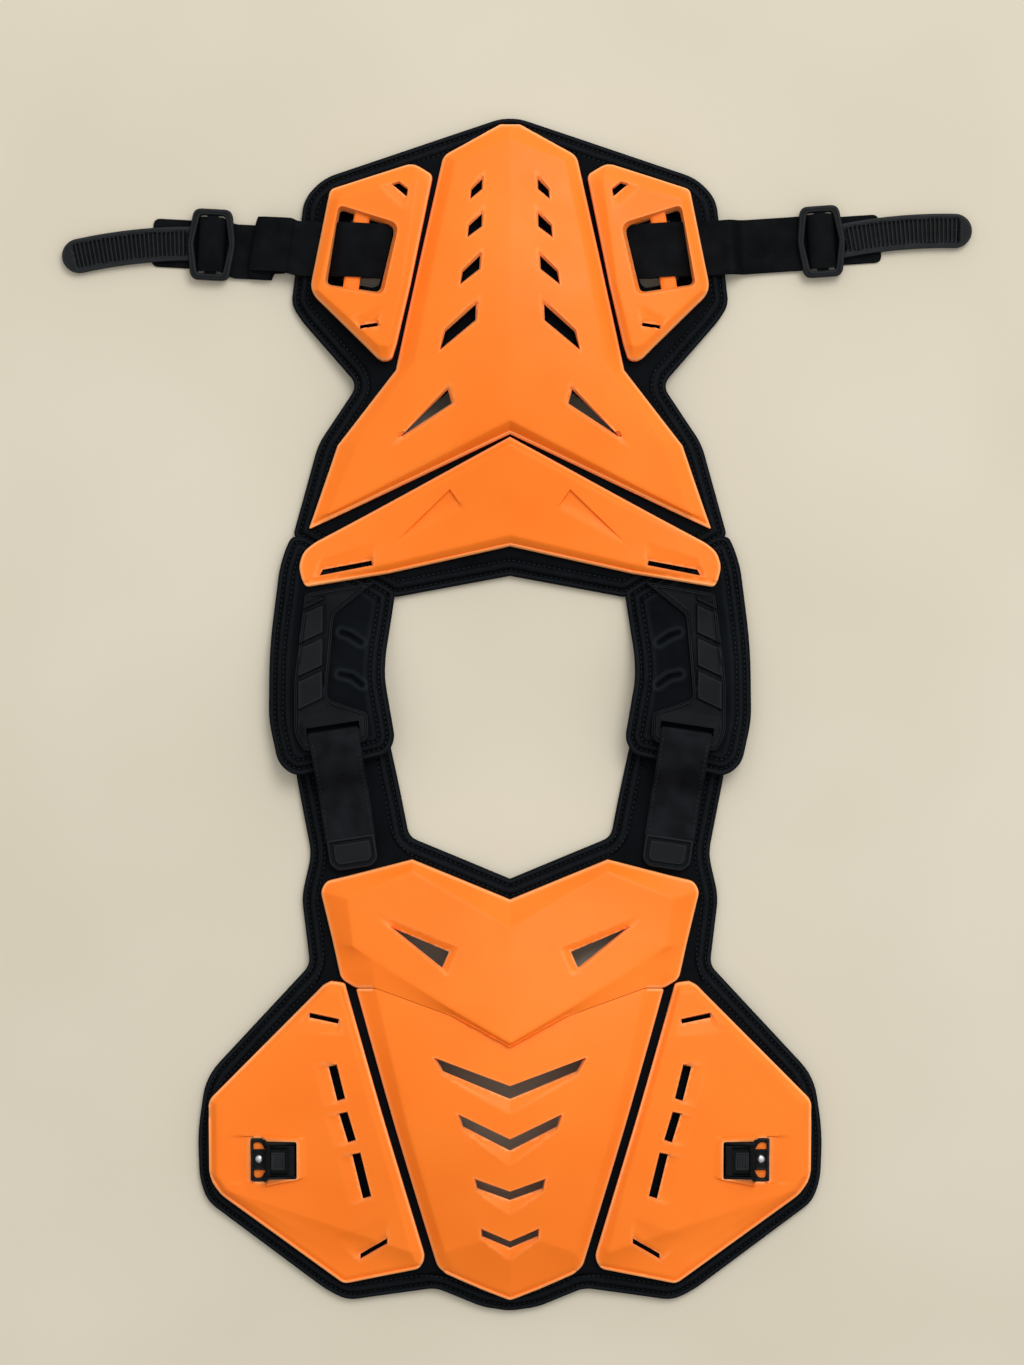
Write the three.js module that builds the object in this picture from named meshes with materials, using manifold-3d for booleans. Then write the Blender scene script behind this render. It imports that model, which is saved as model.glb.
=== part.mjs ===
// Roost deflector: a chest and back guard of moulded plates on padded frames, laid out flat.
// Millimetres. +X is the right of the guard as it lies, +Y runs to the end of the back half and
// +Z is up. The origin is on the floor under the middle of the neck opening.
import * as THREE from 'three';
import { mergeVertices } from 'three/addons/utils/BufferGeometryUtils.js';
import Module from 'manifold-3d';

const wasm = await Module();
wasm.setup();

// Overall form
const halfWidth = 220; // centre line to the side of the chest pad
const backLength = 420; // origin to the end of the back pad
const chestLength = 420; // origin to the tip of the chest pad
const chestRise = 24; // arch of the chest half over the floor
const backRise = 20; // arch of the back half over the floor
const gridStep = 40; // longest step of a bent face
const roundSides = 16; // of a pin, a bore or a rivet
const chestPadEnd = 0.02; // end of the chest pad under a shoulder pad, as a share of the back's length

// Clearances
const seatGap = 0.3; // between pieces that touch
const pinGap = 0.3; // round a pin or a bar
const slitGap = 1.2; // between two plates that meet edge to edge

// Pads
const padThickness = 9;
const shoulderPadThickness = 12;
const shoulderRamp = 50; // length over which a shoulder pad climbs onto the chest pad
const shoulderStep = 12; // longest step of a bent face there

// Plates
const plateWall = 2.5;
const rimHeight = 4;
const chestCrown = 16;
const bellyCrown = 12;
const wingCrown = 9;
const backCrown = 12;
const neckCrown = 9;
const frameCrown = 14; // side plates of the back half
const frameRim = 9;
const embossDepth = 1; // debossed triangles of the neck plate

// Straps
const webbingThickness = 1.7;
const webbingPlay = 2; // room beside and over webbing in a slot
const barSkew = 1.8; // room for the slant of the bar in the webbing's loop
const sideWebbingWidth = 38;
const shoulderWebbingWidth = 35;
const barWidth = 11; // strap bar in the window of a back side plate
const barThickness = 3.5;
const barLift = 5; // bar over its seat
const sliderLength = 50; // across the strap
const sliderWidth = 34; // along the strap
const sliderThickness = 5;
const sliderMember = 4.5;
const sliderDraw = 3.6; // how far a slider's corners draw in
const sliderBarWidth = 8;
const sliderBarThickness = 2.5;
const ladderWidth = 24;
const ladderLength = 88;
const ladderThickness = 3;
const ladderTurn = THREE.MathUtils.degToRad(12); // bend of the strap in its own plane
const ribPitch = 3;
const ribWidth = 1.4;
const ribHeight = 0.8;
const ribLength = 15;
const backingLength = 42;
const backingWidth = 34;

// Shoulder moulding and strap
const mouldingThickness = 3;
const mouldingBlock = 1.6; // height of a block over the moulding
const slotFrameHeight = 6.4;
const slotLength = 5.5;
const strapBarWidth = 10;
const strapBarLift = 2.6;
const shoulderDrop = 21; // strap bar to the place where the strap leaves the shoulder pad
const dropLength = 16; // way over which the strap comes down onto the chest pad
const tabToPlate = 5.6; // room between a strap's end and the chest plate
const shoulderStrapTurn = THREE.MathUtils.degToRad(8.6);
const tabLength = 20;
const tabWidth = 34;
const tabCorner = 5;
const tabThickness = 5;

// Buckle
const buckleLength = 32; // along the strap that it grips
const buckleWidth = 30;
const buckleFloor = 1.5;
const throatHeight = 4.4; // room for the ladder strap
const leverLength = 18.7; // pin to the lever's free end
const leverThickness = 2.5;
const cheekWall = 1.8;
const leverWidth = 21.5;
const pinRadius = 1.2;
const rivetRadius = 2.7;
const rivetHeight = 1.6;
const pocketDepth = 3;
const pocketWall = 2;
const pocketEdge = 0.5; // top of the pocket's walls under the plate's face
const earLength = 11.5;
const earRim = 1.5;
const earHoleLength = 7;
const earHoleWidth = 6;
const cheekBehindPin = 2.5;
const cheekRise = 2; // cheeks over the pin
const pinToEnd = 12.5; // pin to the outer end of the buckle
const rivetToEnd = 6.9;
const leverKnuckle = 1.1; // wall of the lever round its bore
const thumbPadEdge = 6.5;
const thumbPadLength = 9.8;
const thumbPadWidth = 13.5;
const thumbPadHeight = 1;
const thumbRib = 0.9; // width of a rib on the thumb pad
const thumbRibPitch = 2;

// Materials
const orange = { color: 0xff7d26, roughness: 0.45, metalness: 0 };
const padding = { color: 0x14181c, roughness: 0.95, metalness: 0 };
const webbing = { color: 0x0e0f13, roughness: 0.95, metalness: 0 };
const rubber = { color: 0x1c2024, roughness: 0.8, metalness: 0 };
const plastic = { color: 0x20252a, roughness: 0.55, metalness: 0 };
const steel = { color: 0xb4b7bd, roughness: 0.3, metalness: 1 };

// The arch. Each half stands over the floor in a rounded hump: centre and reach are shares of
// the half's length and of the half width.
const humps = [
  { centre: -0.62, along: 0.4, across: 0.98, rise: chestRise },
  { centre: 0.61, along: 0.41, across: 0.74, rise: backRise },
];

const lengthAt = (along) => (along > 0 ? backLength : chestLength);
const acrossToX = (across) => across * halfWidth;
const alongToY = (along) => along * lengthAt(along);

/** Height of the padding's underside over the floor. */
function arch(x, y) {
  let height = 0;
  for (const hump of humps) {
    const length = lengthAt(hump.centre);
    const dx = x / (hump.across * halfWidth);
    const dy = (y - hump.centre * length) / (hump.along * length);
    height += hump.rise * Math.max(0, 1 - dx * dx - dy * dy) ** 2;
  }
  return height;
}

const padTop = (x, y) => arch(x, y) + padThickness;
const seat = (x, y) => padTop(x, y) + seatGap;

/** Share of its climb that a shoulder pad has made: 0 at the neck plate, 1 on the chest pad. */
const climb = (y) =>
  THREE.MathUtils.smoothstep(chestPadEnd * backLength + shoulderStep + shoulderRamp - y, 0, shoulderRamp);

/** Underside of a shoulder pad: on the floor at the neck plate, on the chest pad further down. */
function shoulderUnderside(x, y) {
  return arch(x, y) + (padThickness + seatGap) * climb(y);
}

/** Upper face of a shoulder pad, which is as thin as the back pad under the neck plate. */
function shoulderTop(x, y) {
  return shoulderUnderside(x, y) + THREE.MathUtils.lerp(padThickness, shoulderPadThickness, climb(y));
}

/** Closed solid of a three.js geometry. */
function solid(geometry) {
  const bare = new THREE.BufferGeometry();
  bare.setAttribute('position', geometry.attributes.position);
  if (geometry.index) bare.setIndex(geometry.index);
  const merged = mergeVertices(bare, 1e-4);
  const index = merged.index.array;
  const kept = [];
  for (let i = 0; i < index.length; i += 3) {
    const [a, b, c] = [index[i], index[i + 1], index[i + 2]];
    if (a !== b && b !== c && c !== a) kept.push(a, b, c);
  }
  const mesh = new wasm.Mesh({
    numProp: 3,
    vertProperties: new Float32Array(merged.attributes.position.array),
    triVerts: new Uint32Array(kept),
  });
  return new wasm.Manifold(mesh);
}

/** Solid moved by a matrix. A mirrored one keeps its faces pointing out. */
function moved(body, matrix) {
  const geometry = geometryOf(body).applyMatrix4(matrix);
  if (matrix.determinant() < 0) {
    const index = geometry.index.array;
    for (let i = 0; i < index.length; i += 3) [index[i], index[i + 1]] = [index[i + 1], index[i]];
  }
  return solid(geometry);
}

const shifted = (body, x, y, z) => moved(body, new THREE.Matrix4().makeTranslation(x, y, z));

/** three.js geometry of a solid. */
function geometryOf(body) {
  const mesh = body.getMesh();
  const geometry = new THREE.BufferGeometry();
  geometry.setAttribute('position', new THREE.BufferAttribute(mesh.vertProperties.slice(), 3));
  geometry.setIndex(new THREE.BufferAttribute(mesh.triVerts.slice(), 1));
  return geometry;
}

/** Corner in millimetres from shares of the half width and of the half's length. */
const corner = ([across, along, round = 0]) => ({ x: acrossToX(across), y: alongToY(along), round });

/** Closed outline through corners, each rounded by its own length of edge. */
function outline(corners) {
  const shape = new THREE.Shape();
  corners.forEach((here, i) => {
    const before = corners.at(i - 1);
    const after = corners[(i + 1) % corners.length];
    const point = new THREE.Vector2(here.x, here.y);
    const start = new THREE.Vector2(before.x, before.y).sub(point);
    const end = new THREE.Vector2(after.x, after.y).sub(point);
    const trim = Math.min(here.round ?? 0, 0.45 * start.length(), 0.45 * end.length());
    start.setLength(trim).add(point);
    end.setLength(trim).add(point);
    if (i === 0) shape.moveTo(start.x, start.y);
    else shape.lineTo(start.x, start.y);
    if (trim > 0) shape.quadraticCurveTo(point.x, point.y, end.x, end.y);
  });
  shape.closePath();
  return shape;
}

/** Upright solid of an outline between two heights. */
function prism(shape, low, high, curveSegments = 3) {
  const depth = high - low;
  const geometry = new THREE.ExtrudeGeometry(shape, { depth, bevelEnabled: false, curveSegments });
  return solid(geometry.translate(0, 0, low));
}

/** Box from its lowest to its highest corner. */
function box(x0, y0, z0, x1, y1, z1) {
  const geometry = new THREE.BoxGeometry(x1 - x0, y1 - y0, z1 - z0);
  return solid(geometry.translate((x0 + x1) / 2, (y0 + y1) / 2, (z0 + z1) / 2));
}

/** Profile in the plane of length and height, drawn out across the strap's width. */
function across(shape, width) {
  const geometry = new THREE.ExtrudeGeometry(shape, { depth: width, bevelEnabled: false, curveSegments: 3 });
  geometry.rotateX(Math.PI / 2);
  return solid(geometry.translate(0, width / 2, 0));
}

/**
 * Slab over a rectangle, whose lower and upper faces follow two heights. Its cells are split
 * alike on both sides of the centre line, so that what fits one side fits the other mirrored.
 */
function slab(x0, y0, x1, y1, lower, upper, step = gridStep) {
  const columns = 2 * Math.ceil((x1 - x0) / gridStep / 2);
  const rows = Math.ceil((y1 - y0) / step);
  const geometry = new THREE.BoxGeometry(x1 - x0, y1 - y0, 1, columns, rows, 1);
  const place = geometry.attributes.position;
  for (let i = 0; i < place.count; i++) {
    const x = place.getX(i) + (x0 + x1) / 2;
    const y = place.getY(i) + (y0 + y1) / 2;
    place.setXYZ(i, x, y, place.getZ(i) > 0 ? upper(x, y) : lower(x, y));
  }
  const index = geometry.index.array;
  for (let i = 0; i < index.length; i += 6) {
    const [a, b, d, , c] = index.slice(i, i + 6);
    const acrossCentre = [a, b, c, d].reduce((sum, vertex) => sum + place.getX(vertex), 0);
    if (acrossCentre < 0) index.set([a, b, c, a, c, d], i);
  }
  return solid(geometry);
}

/** Corners moved square to the outline, inwards for a positive distance. */
function inset(corners, distance) {
  const area = THREE.ShapeUtils.area(corners);
  const inward = Math.sign(area) * distance;
  return corners.map((here, i) => {
    const before = corners.at(i - 1);
    const after = corners[(i + 1) % corners.length];
    const first = new THREE.Vector2(before.y - here.y, here.x - before.x).normalize();
    const second = new THREE.Vector2(here.y - after.y, after.x - here.x).normalize();
    const side = first.clone().add(second).multiplyScalar(inward / (1 + first.dot(second)));
    return { x: here.x + side.x, y: here.y + side.y, round: Math.max(0, here.round - distance) };
  });
}

/** Rows of a plate that is alike on both sides: each starts at the ridge and ends at the rim. */
function bothSides(rows) {
  return rows.map((row) => {
    const right = row.map(([across, along, height, round = 0]) => ({ across, along, height, round }));
    const left = right.slice(1).reverse();
    return [...left.map((point) => ({ ...point, across: -point.across })), ...right];
  });
}

const oneSide = (rows) =>
  rows.map((row) => row.map(([across, along, height, round = 0]) => ({ across, along, height, round })));

/** Rim corners of a plate's rows, in turn. */
function rimOf(rows) {
  const last = rows.length - 1;
  const right = rows.slice(1, last).map((row) => row.at(-1));
  const left = rows.slice(1, last).map((row) => row[0]).reverse();
  const ring = [...rows[0], ...right, ...rows[last].slice().reverse(), ...left];
  return ring.map((point) => corner([point.across, point.along, point.round]));
}

/** Solid under a plate's skin. The skin's heights are shares of the crown over the seat. */
function underSkin(rows, crown, drop) {
  const overhang = 0.06; // of a cell, past the rim
  const wide = rows[0].length - 1;
  const long = rows.length - 1;
  const geometry = new THREE.BoxGeometry(1, 1, 1, wide, long, 1);
  const place = geometry.attributes.position;
  const { lerp, clamp } = THREE.MathUtils;
  const pastRim = (value, end) => value + (value > end - 1e-4) * overhang - (value < 1e-4) * overhang;
  for (let i = 0; i < place.count; i++) {
    const s = pastRim((place.getX(i) + 0.5) * wide, wide);
    const t = pastRim((place.getY(i) + 0.5) * long, long);
    const column = clamp(Math.floor(s + 1e-4), 0, wide - 1);
    const row = clamp(Math.floor(t + 1e-4), 0, long - 1);
    const mix = (name) =>
      lerp(
        lerp(rows[row][column][name], rows[row][column + 1][name], s - column),
        lerp(rows[row + 1][column][name], rows[row + 1][column + 1][name], s - column),
        t - row,
      );
    const x = acrossToX(mix('across'));
    const y = alongToY(mix('along'));
    const top = seat(x, y) + mix('height') * crown - drop;
    place.setXYZ(i, x, y, place.getZ(i) > 0 ? top : -padThickness);
  }
  return solid(geometry);
}

/** Moulded plate: a shell with a skirt that stands on the padding. */
function plate(rows, crown, layer) {
  const rim = rimOf(rows);
  const high = crown + 2 * (chestRise + backRise) + padThickness;
  const outer = underSkin(rows, crown, 0).intersect(prism(outline(rim), -padThickness, high));
  const hollow = underSkin(rows, crown, plateWall).intersect(
    prism(outline(inset(rim, plateWall)), -padThickness, high),
  );
  return outer.subtract(hollow).subtract(shifted(layer, 0, 0, seatGap));
}

const tall = 200; // reach of a cutter past every piece

/** Upright cutters of vents, from lists of corners in shares. */
const vents = (lists) => lists.map((list) => prism(outline(list.map(corner)), -tall, tall));
const cut = (body, cutters) => cutters.reduce((rest, cutter) => rest.subtract(cutter), body);
const flip = (lists) => lists.map((list) => list.map(([across, ...rest]) => [-across, ...rest]));
const mirror = new THREE.Matrix4().makeScale(-1, 1, 1);

/** Outline of shares that is alike on both sides, from its right half. */
const wholeOf = (half) => [
  ...half,
  ...half.filter(([across]) => across > 0).map(([across, ...rest]) => [-across, ...rest]).reverse(),
];

// Plans of the pads, as shares of the half width and of the half's length, with the rounding of
// the corner in millimetres. The right half only, from the top down.
const backPadPlan = [
  [0.03, 1, 6], [0.597, 0.9, 14], [0.66, 0.866, 14], [0.7, 0.688, 10], [0.668, 0.661, 10],
  [0.487, 0.552, 8], [0.614, 0.454, 8], [0.695, 0.3, 4], [0.37, 0.197, 3], [0, 0.233, 0],
];
const backPadOpening = [[0.14, 0.56, 8], [0.4, 0.46, 8], [0.36, 0.42, 8], [0, 0.5, 8]];
const windowOpening = [[0.37, 0.815, 6], [0.515, 0.835, 6], [0.545, 0.725, 6], [0.42, 0.712, 6]];
const chestPadPlan = [
  [0, -0.275, 0], [0.323, -0.205, 6], [0.353, -0.125, 10], [0.384, -0.05, 4], [0.42, 0, 0],
  [0.42, chestPadEnd, 0], [0.7, chestPadEnd, 0], [0.7, 0, 0], [0.684, -0.103, 4],
  [0.636, -0.233, 8], [0.667, -0.305, 8], [0.64, -0.419, 6], [0.974, -0.607, 14], [1, -0.7, 14],
  [0.994, -0.778, 10], [0.969, -0.816, 14], [0.587, -0.965, 10], [0.52, -0.982, 8],
  [0.237, -0.961, 6], [0.089, -0.993, 6], [0, -1, 6],
];
const chestPadOpening = [
  [0, -0.38, 0], [0.3, -0.3, 8], [0.47, -0.34, 8], [0.4, -0.45, 8], [0.16, -0.86, 8], [0, -0.92, 8],
];
const shoulderPadPlan = [
  [0.37, 0.194, 3], [0.7, 0.297, 4], [0.72, 0.276, 6], [0.738, 0.245, 8], [0.768, 0.12, 20],
  [0.771, -0.01, 10], [0.74, -0.081, 14], [0.685, -0.103, 14], [0.39, -0.065, 14],
  [0.367, -0.04, 10], [0.4, 0.06, 20], [0.398, 0.1, 20],
];

// Skins of the plates. Each row crosses the plate, from the ridge (or the inner rim) to the
// outer rim: across, along, height as a share of the crown, rounding of a rim corner.
const rim = (crown) => rimHeight / crown;
const backRim = rim(backCrown);
const backRows = bothSides([
  [[0, 0.467, backRim], [0.577, 0.326, backRim], [0.643, 0.31, backRim, 2]],
  [[0, 0.488, 1], [0.575, 0.336, 0.75], [0.627, 0.333, backRim]],
  [[0, 0.571, 1], [0.482, 0.457, 0.8], [0.55, 0.45, backRim]],
  [[0, 0.655, 1], [0.302, 0.586, 0.8], [0.363, 0.574, backRim]],
  [[0, 0.79, 1], [0.241, 0.757, 0.8], [0.287, 0.757, backRim]],
  [[0, 0.96, 0.9], [0.175, 0.924, 0.8], [0.213, 0.934, backRim, 5]],
  [[0, 0.987, backRim], [0.014, 0.987, backRim], [0.03, 0.987, backRim, 5]],
]);
const neckRim = rim(neckCrown);
const neckRows = bothSides([
  [[0, 0.2817, neckRim], [0.391, 0.236, neckRim], [0.655, 0.215, neckRim, 9]],
  [[0, 0.2995, 1], [0.386, 0.253, 0.9], [0.664, 0.226, neckRim]],
  [[0, 0.369, 1], [0.345, 0.297, 0.9], [0.6745, 0.247, neckRim, 9]],
  [[0, 0.449, 1], [0.327, 0.3585, 0.9], [0.648, 0.2665, neckRim]],
  [[0, 0.4626, neckRim], [0.318, 0.3733, neckRim], [0.633, 0.285, neckRim, 3]],
]);
const chestRim = rim(chestCrown);
const stepHeight = 0.82; // edge that stands over the belly plate, as a share of the chest crown
const chestTopCorner = [0.523, -0.27]; // of the rim, below a shoulder strap
const chestStep = [[0, -0.5476], [0.1736, -0.4993], [0.4264, -0.4533], [0.49, -0.455]];
const chestRows = bothSides([
  chestStep.map(([across, along], i) => [across, along, i === 3 ? chestRim : stepHeight, 3]),
  [[0, -0.535, 0.92], [0.22, -0.478, 0.88], [0.475, -0.436, 0.8], [0.538, -0.44, chestRim, 4]],
  [[0, -0.44, 1], [0.262, -0.357, 0.95], [0.4973, -0.3857, 0.85], [0.564, -0.381, chestRim]],
  [[0, -0.3533, 1], [0.309, -0.2593, 0.9], [0.518, -0.305, 0.8], [0.6045, -0.295, chestRim, 5]],
  [
    [0, -0.3083, chestRim], [0.312, -0.2417, chestRim],
    [...chestTopCorner, chestRim], [0.587, -0.278, chestRim, 5],
  ],
]);
const bellyRim = rim(bellyCrown);
const bellyTop = chestStep.map(([across, along]) => [across, along - slitGap / chestLength]);
const bellyRows = bothSides([
  [
    [0, -0.9786, bellyRim, 3], [0.09, -0.96, bellyRim],
    [0.164, -0.943, bellyRim], [0.205, -0.933, bellyRim, 6],
  ],
  [[0, -0.886, 1], [0.1, -0.874, 0.95], [0.206, -0.895, 0.8], [0.232, -0.92, bellyRim, 6]],
  [[0, -0.714, 1], [0.159, -0.698, 0.95], [0.322, -0.686, 0.85], [0.3636, -0.686, bellyRim]],
  bellyTop.map(([across, along], i) => [across, along, [0.92, 0.85, 0.8, bellyRim][i], 2]),
]);
const wingRim = rim(wingCrown);
const wingRows = oneSide([
  [
    [0.27, -0.905, wingRim, 6], [0.288, -0.925, wingRim, 4],
    [0.41, -0.938, wingRim], [0.53, -0.951, wingRim, 4],
  ],
  [[0.282, -0.883, wingRim], [0.314, -0.895, 1], [0.9, -0.793, 1], [0.926, -0.801, wingRim, 8]],
  [[0.336, -0.786, wingRim], [0.366, -0.781, 1], [0.934, -0.769, 1], [0.959, -0.7726, wingRim, 6]],
  [[0.41, -0.655, wingRim], [0.439, -0.65, 1], [0.936, -0.649, 1], [0.961, -0.644, wingRim, 4]],
  [[0.514, -0.468, wingRim], [0.539, -0.4595, 1], [0.586, -0.4583, 1], [0.618, -0.463, wingRim]],
  [
    [0.525, -0.4476, wingRim, 3], [0.541, -0.4457, wingRim],
    [0.57, -0.444, wingRim], [0.594, -0.45, wingRim, 3],
  ],
]);
const frameEdge = frameRim / frameCrown;
const frameRows = oneSide([
  [
    [0.374, 0.593, frameEdge, 5], [0.388, 0.589, frameEdge],
    [0.404, 0.589, frameEdge], [0.42, 0.593, frameEdge, 5],
  ],
  [[0.36, 0.616, frameEdge], [0.387, 0.612, 1], [0.418, 0.614, 1], [0.459, 0.614, frameEdge]],
  [[0.3165, 0.714, frameEdge], [0.339, 0.714, 1], [0.609, 0.707, 1], [0.6386, 0.707, frameEdge, 8]],
  [[0.252, 0.883, frameEdge], [0.295, 0.89, 1], [0.545, 0.86, 1], [0.58, 0.86, frameEdge]],
  [
    [0.2455, 0.9, frameEdge, 8], [0.309, 0.921, frameEdge, 6],
    [0.4545, 0.897, frameEdge], [0.573, 0.877, frameEdge, 8],
  ],
]);

// Vents of the right side, as shares
const backVents = [
  [[0.0884, 0.8926], [0.0893, 0.8755], [0.1256, 0.8592], [0.1225, 0.8744]],
  [[0.0889, 0.8336], [0.0902, 0.8116], [0.1343, 0.7943], [0.1303, 0.8128]],
  [[0.0949, 0.7626], [0.0971, 0.7398], [0.157, 0.7152], [0.1497, 0.7355]],
  [[0.1078, 0.6809], [0.1098, 0.6541], [0.221, 0.6063], [0.2049, 0.6359]],
  [[0.197, 0.54], [0.185, 0.517], [0.35, 0.462]],
];
const neckVents = [[[0.442, 0.258], [0.439, 0.25], [0.608, 0.233], [0.598, 0.243]]];
const neckDeboss = [[[0.191, 0.373], [0.15, 0.34], [0.388, 0.278]]];
const chestVents = [[[0.374, -0.354], [0.193, -0.3926], [0.215, -0.419]]];
const wingVents = [
  [[0.55, -0.5815], [0.576, -0.5845], [0.548, -0.6415], [0.523, -0.637]],
  [[0.516, -0.6595], [0.542, -0.6625], [0.514, -0.7105], [0.489, -0.706]],
  [[0.475, -0.7275], [0.501, -0.7305], [0.467, -0.805], [0.441, -0.8005]],
  [[0.544, -0.506], [0.636, -0.4965], [0.638, -0.504], [0.546, -0.5135]],
  [[0.391, -0.872], [0.477, -0.9], [0.477, -0.909], [0.391, -0.881]],
];
const frameVents = [
  [[0.325, 0.875], [0.352, 0.886], [0.373, 0.883], [0.329, 0.863]],
  [[0.419, 0.652], [0.476, 0.648], [0.476, 0.642], [0.419, 0.646]],
];
const frameWindow = [[0.351, 0.817, 7], [0.545, 0.85, 5], [0.591, 0.714, 5], [0.402, 0.697, 5]];

// Chevron vents of the belly plate, from the chest down
const bellyVents = [
  { end: 0.234, outer: -0.5683, centre: -0.6133, width: 0.0212, taper: 0.9 },
  { end: 0.159, outer: -0.6617, centre: -0.7017, width: 0.019, taper: 0.93 },
  { end: 0.108, outer: -0.77, centre: -0.79, width: 0.0145, taper: 0.96 },
  { end: 0.089, outer: -0.855, centre: -0.875, width: 0.0115, taper: 1 },
].map(({ end, outer, centre, width, taper }) => [
  [0, centre], [end, outer], [end * taper, outer - width], [0, centre - width],
  [-end * taper, outer - width], [-end, outer],
]);

const mouldingPlan = [
  [0.43, 0.223, 2], [0.655, 0.203, 3], [0.686, 0.055, 6], [0.686, -0.032, 6], [0.655, -0.06, 3],
  [0.468, -0.0455, 3], [0.449, -0.036, 2], [0.452, 0.0033, 3], [0.582, 0.027, 4], [0.563, 0.167, 4],
];
const blockSlant = 0.02; // a block's inner end stands further up than its outer one
const blockEnds = [0.592, 0.674];
const blockRows = [[0.172, 0.178], [0.117, 0.166], [0.062, 0.111], [0.007, 0.056]];

// The two sides. A side strap leaves its bar at an angle and its ladder strap leans from it.
const degrees = THREE.MathUtils.degToRad;
const sides = [
  { name: 'right', sign: 1, turn: degrees(3.9), reach: 112, lean: degrees(7) },
  { name: 'left', sign: -1, turn: degrees(3), reach: 103, lean: degrees(-3.5) },
];
const padSide = acrossToX(0.7);
const buckleCentre = corner([0.7523, -0.7417]);
const buckleSeat = seat(buckleCentre.x, buckleCentre.y) + wingCrown - pocketDepth;
const atBuckle = new THREE.Matrix4().makeTranslation(buckleCentre.x, buckleCentre.y, buckleSeat);

// Padding
/** Padding over a whole half of the guard, from well under the floor to its top. */
function ground(width, first, last) {
  const side = acrossToX(width);
  return slab(-side, alongToY(first), side, alongToY(last), () => -2 * padThickness, padTop);
}

const past = 1.02; // share of a half that reaches past its pad
const chestGround = ground(past, -past, chestPadEnd);
const backGround = ground(0.8, 0.15, past);

/** Pad of an even thickness, bent over the arch. */
function pad(plan, openings, layer) {
  const blank = layer.subtract(shifted(layer, 0, 0, -padThickness));
  const whole = blank.intersect(prism(outline(plan.map(corner)), -tall, tall));
  return cut(whole, vents(openings));
}

function chestPad() {
  return pad(wholeOf(chestPadPlan), [wholeOf(chestPadOpening)], chestGround);
}

function backPad() {
  return pad(
    wholeOf(backPadPlan),
    [wholeOf(backPadOpening), windowOpening, ...flip([windowOpening])],
    backGround,
  );
}

const shoulderArea = [corner([0.34, -0.12]), corner([0.8, 0.31])];

/** Layer over the whole of a shoulder pad, between two heights. */
function shoulderLayer(lower, upper) {
  const [low, high] = shoulderArea;
  return slab(low.x, low.y, high.x, high.y, lower, upper, shoulderStep);
}

function shoulderPad() {
  const blank = shoulderLayer(shoulderUnderside, shoulderTop);
  return blank.intersect(prism(outline(shoulderPadPlan.map(corner)), -tall, tall));
}

// Plates
function backPlate() {
  return cut(plate(backRows, backCrown, backGround), vents([...backVents, ...flip(backVents)]));
}

function neckPlate() {
  const through = vents([...neckVents, ...flip(neckVents)]);
  const skin = underSkin(neckRows, neckCrown, embossDepth);
  const debossed = vents([...neckDeboss, ...flip(neckDeboss)]).map((cutter) => cutter.subtract(skin));
  return cut(plate(neckRows, neckCrown, backGround), [...through, ...debossed]);
}

function chestPlate() {
  return cut(plate(chestRows, chestCrown, chestGround), vents([...chestVents, ...flip(chestVents)]));
}

function bellyPlate() {
  return cut(plate(bellyRows, bellyCrown, chestGround), vents(bellyVents));
}

// Strap bar in the window of a back side plate
const barEnds = [corner([0.47, 0.833]), corner([0.505, 0.7167])];
const barCentre = { x: (barEnds[0].x + barEnds[1].x) / 2, y: (barEnds[0].y + barEnds[1].y) / 2 };
const barLow = seat(barCentre.x, barCentre.y) + barLift;
const passageHeight = 2 * webbingThickness + webbingPlay;

/** Frame of the back half: a raised plate with a window, and a bar across it for the side strap. */
function backSidePlate() {
  const window = frameWindow.map(corner);
  const skin = underSkin(frameRows, frameCrown, 0);
  const wall = skin
    .intersect(prism(outline(inset(window, -plateWall)), 0, tall))
    .subtract(shifted(backGround, 0, 0, seatGap + passageHeight));
  const [top, foot] = barEnds;
  const axis = new THREE.Vector2(foot.x - top.x, foot.y - top.y);
  const half = axis.length() / 2 + plateWall;
  const turn = Math.atan2(axis.y, axis.x);
  const bar = moved(
    box(-half, -barWidth / 2, barLow, half, barWidth / 2, barLow + barThickness),
    new THREE.Matrix4().makeRotationZ(turn).setPosition(barCentre.x, barCentre.y, 0),
  );
  const halfPassage = sideWebbingWidth / 2 + webbingPlay;
  const corridor = moved(
    box(0, -halfPassage, -tall, padSide, halfPassage, tall),
    new THREE.Matrix4().makeRotationZ(sides[0].turn).setPosition(barCentre.x, barCentre.y, 0),
  );
  const passage = corridor.intersect(shifted(backGround, 0, 0, seatGap + passageHeight));
  const whole = plate(frameRows, frameCrown, backGround).add(wall);
  return cut(whole, [prism(outline(window), -tall, tall), ...vents(frameVents), passage]).add(bar);
}

/** Side plate of the chest half, with the pocket that holds its buckle. */
function wingPlate() {
  const long = buckleLength / 2 + seatGap;
  const wide = buckleWidth / 2 + seatGap;
  const walls = box(
    -long - pocketWall, -wide - pocketWall, -plateWall,
    long + pocketWall, wide + pocketWall, pocketDepth - pocketEdge,
  );
  const pocket = box(-long, -wide, 0, long, wide, tall);
  const whole = plate(wingRows, wingCrown, chestGround).add(moved(walls, atBuckle));
  return cut(whole, [moved(pocket, atBuckle), ...vents(wingVents)]);
}

// Strap profiles lie in the plane of length and height.
const point = (x, y) => new THREE.Vector2(x, y);

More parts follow.
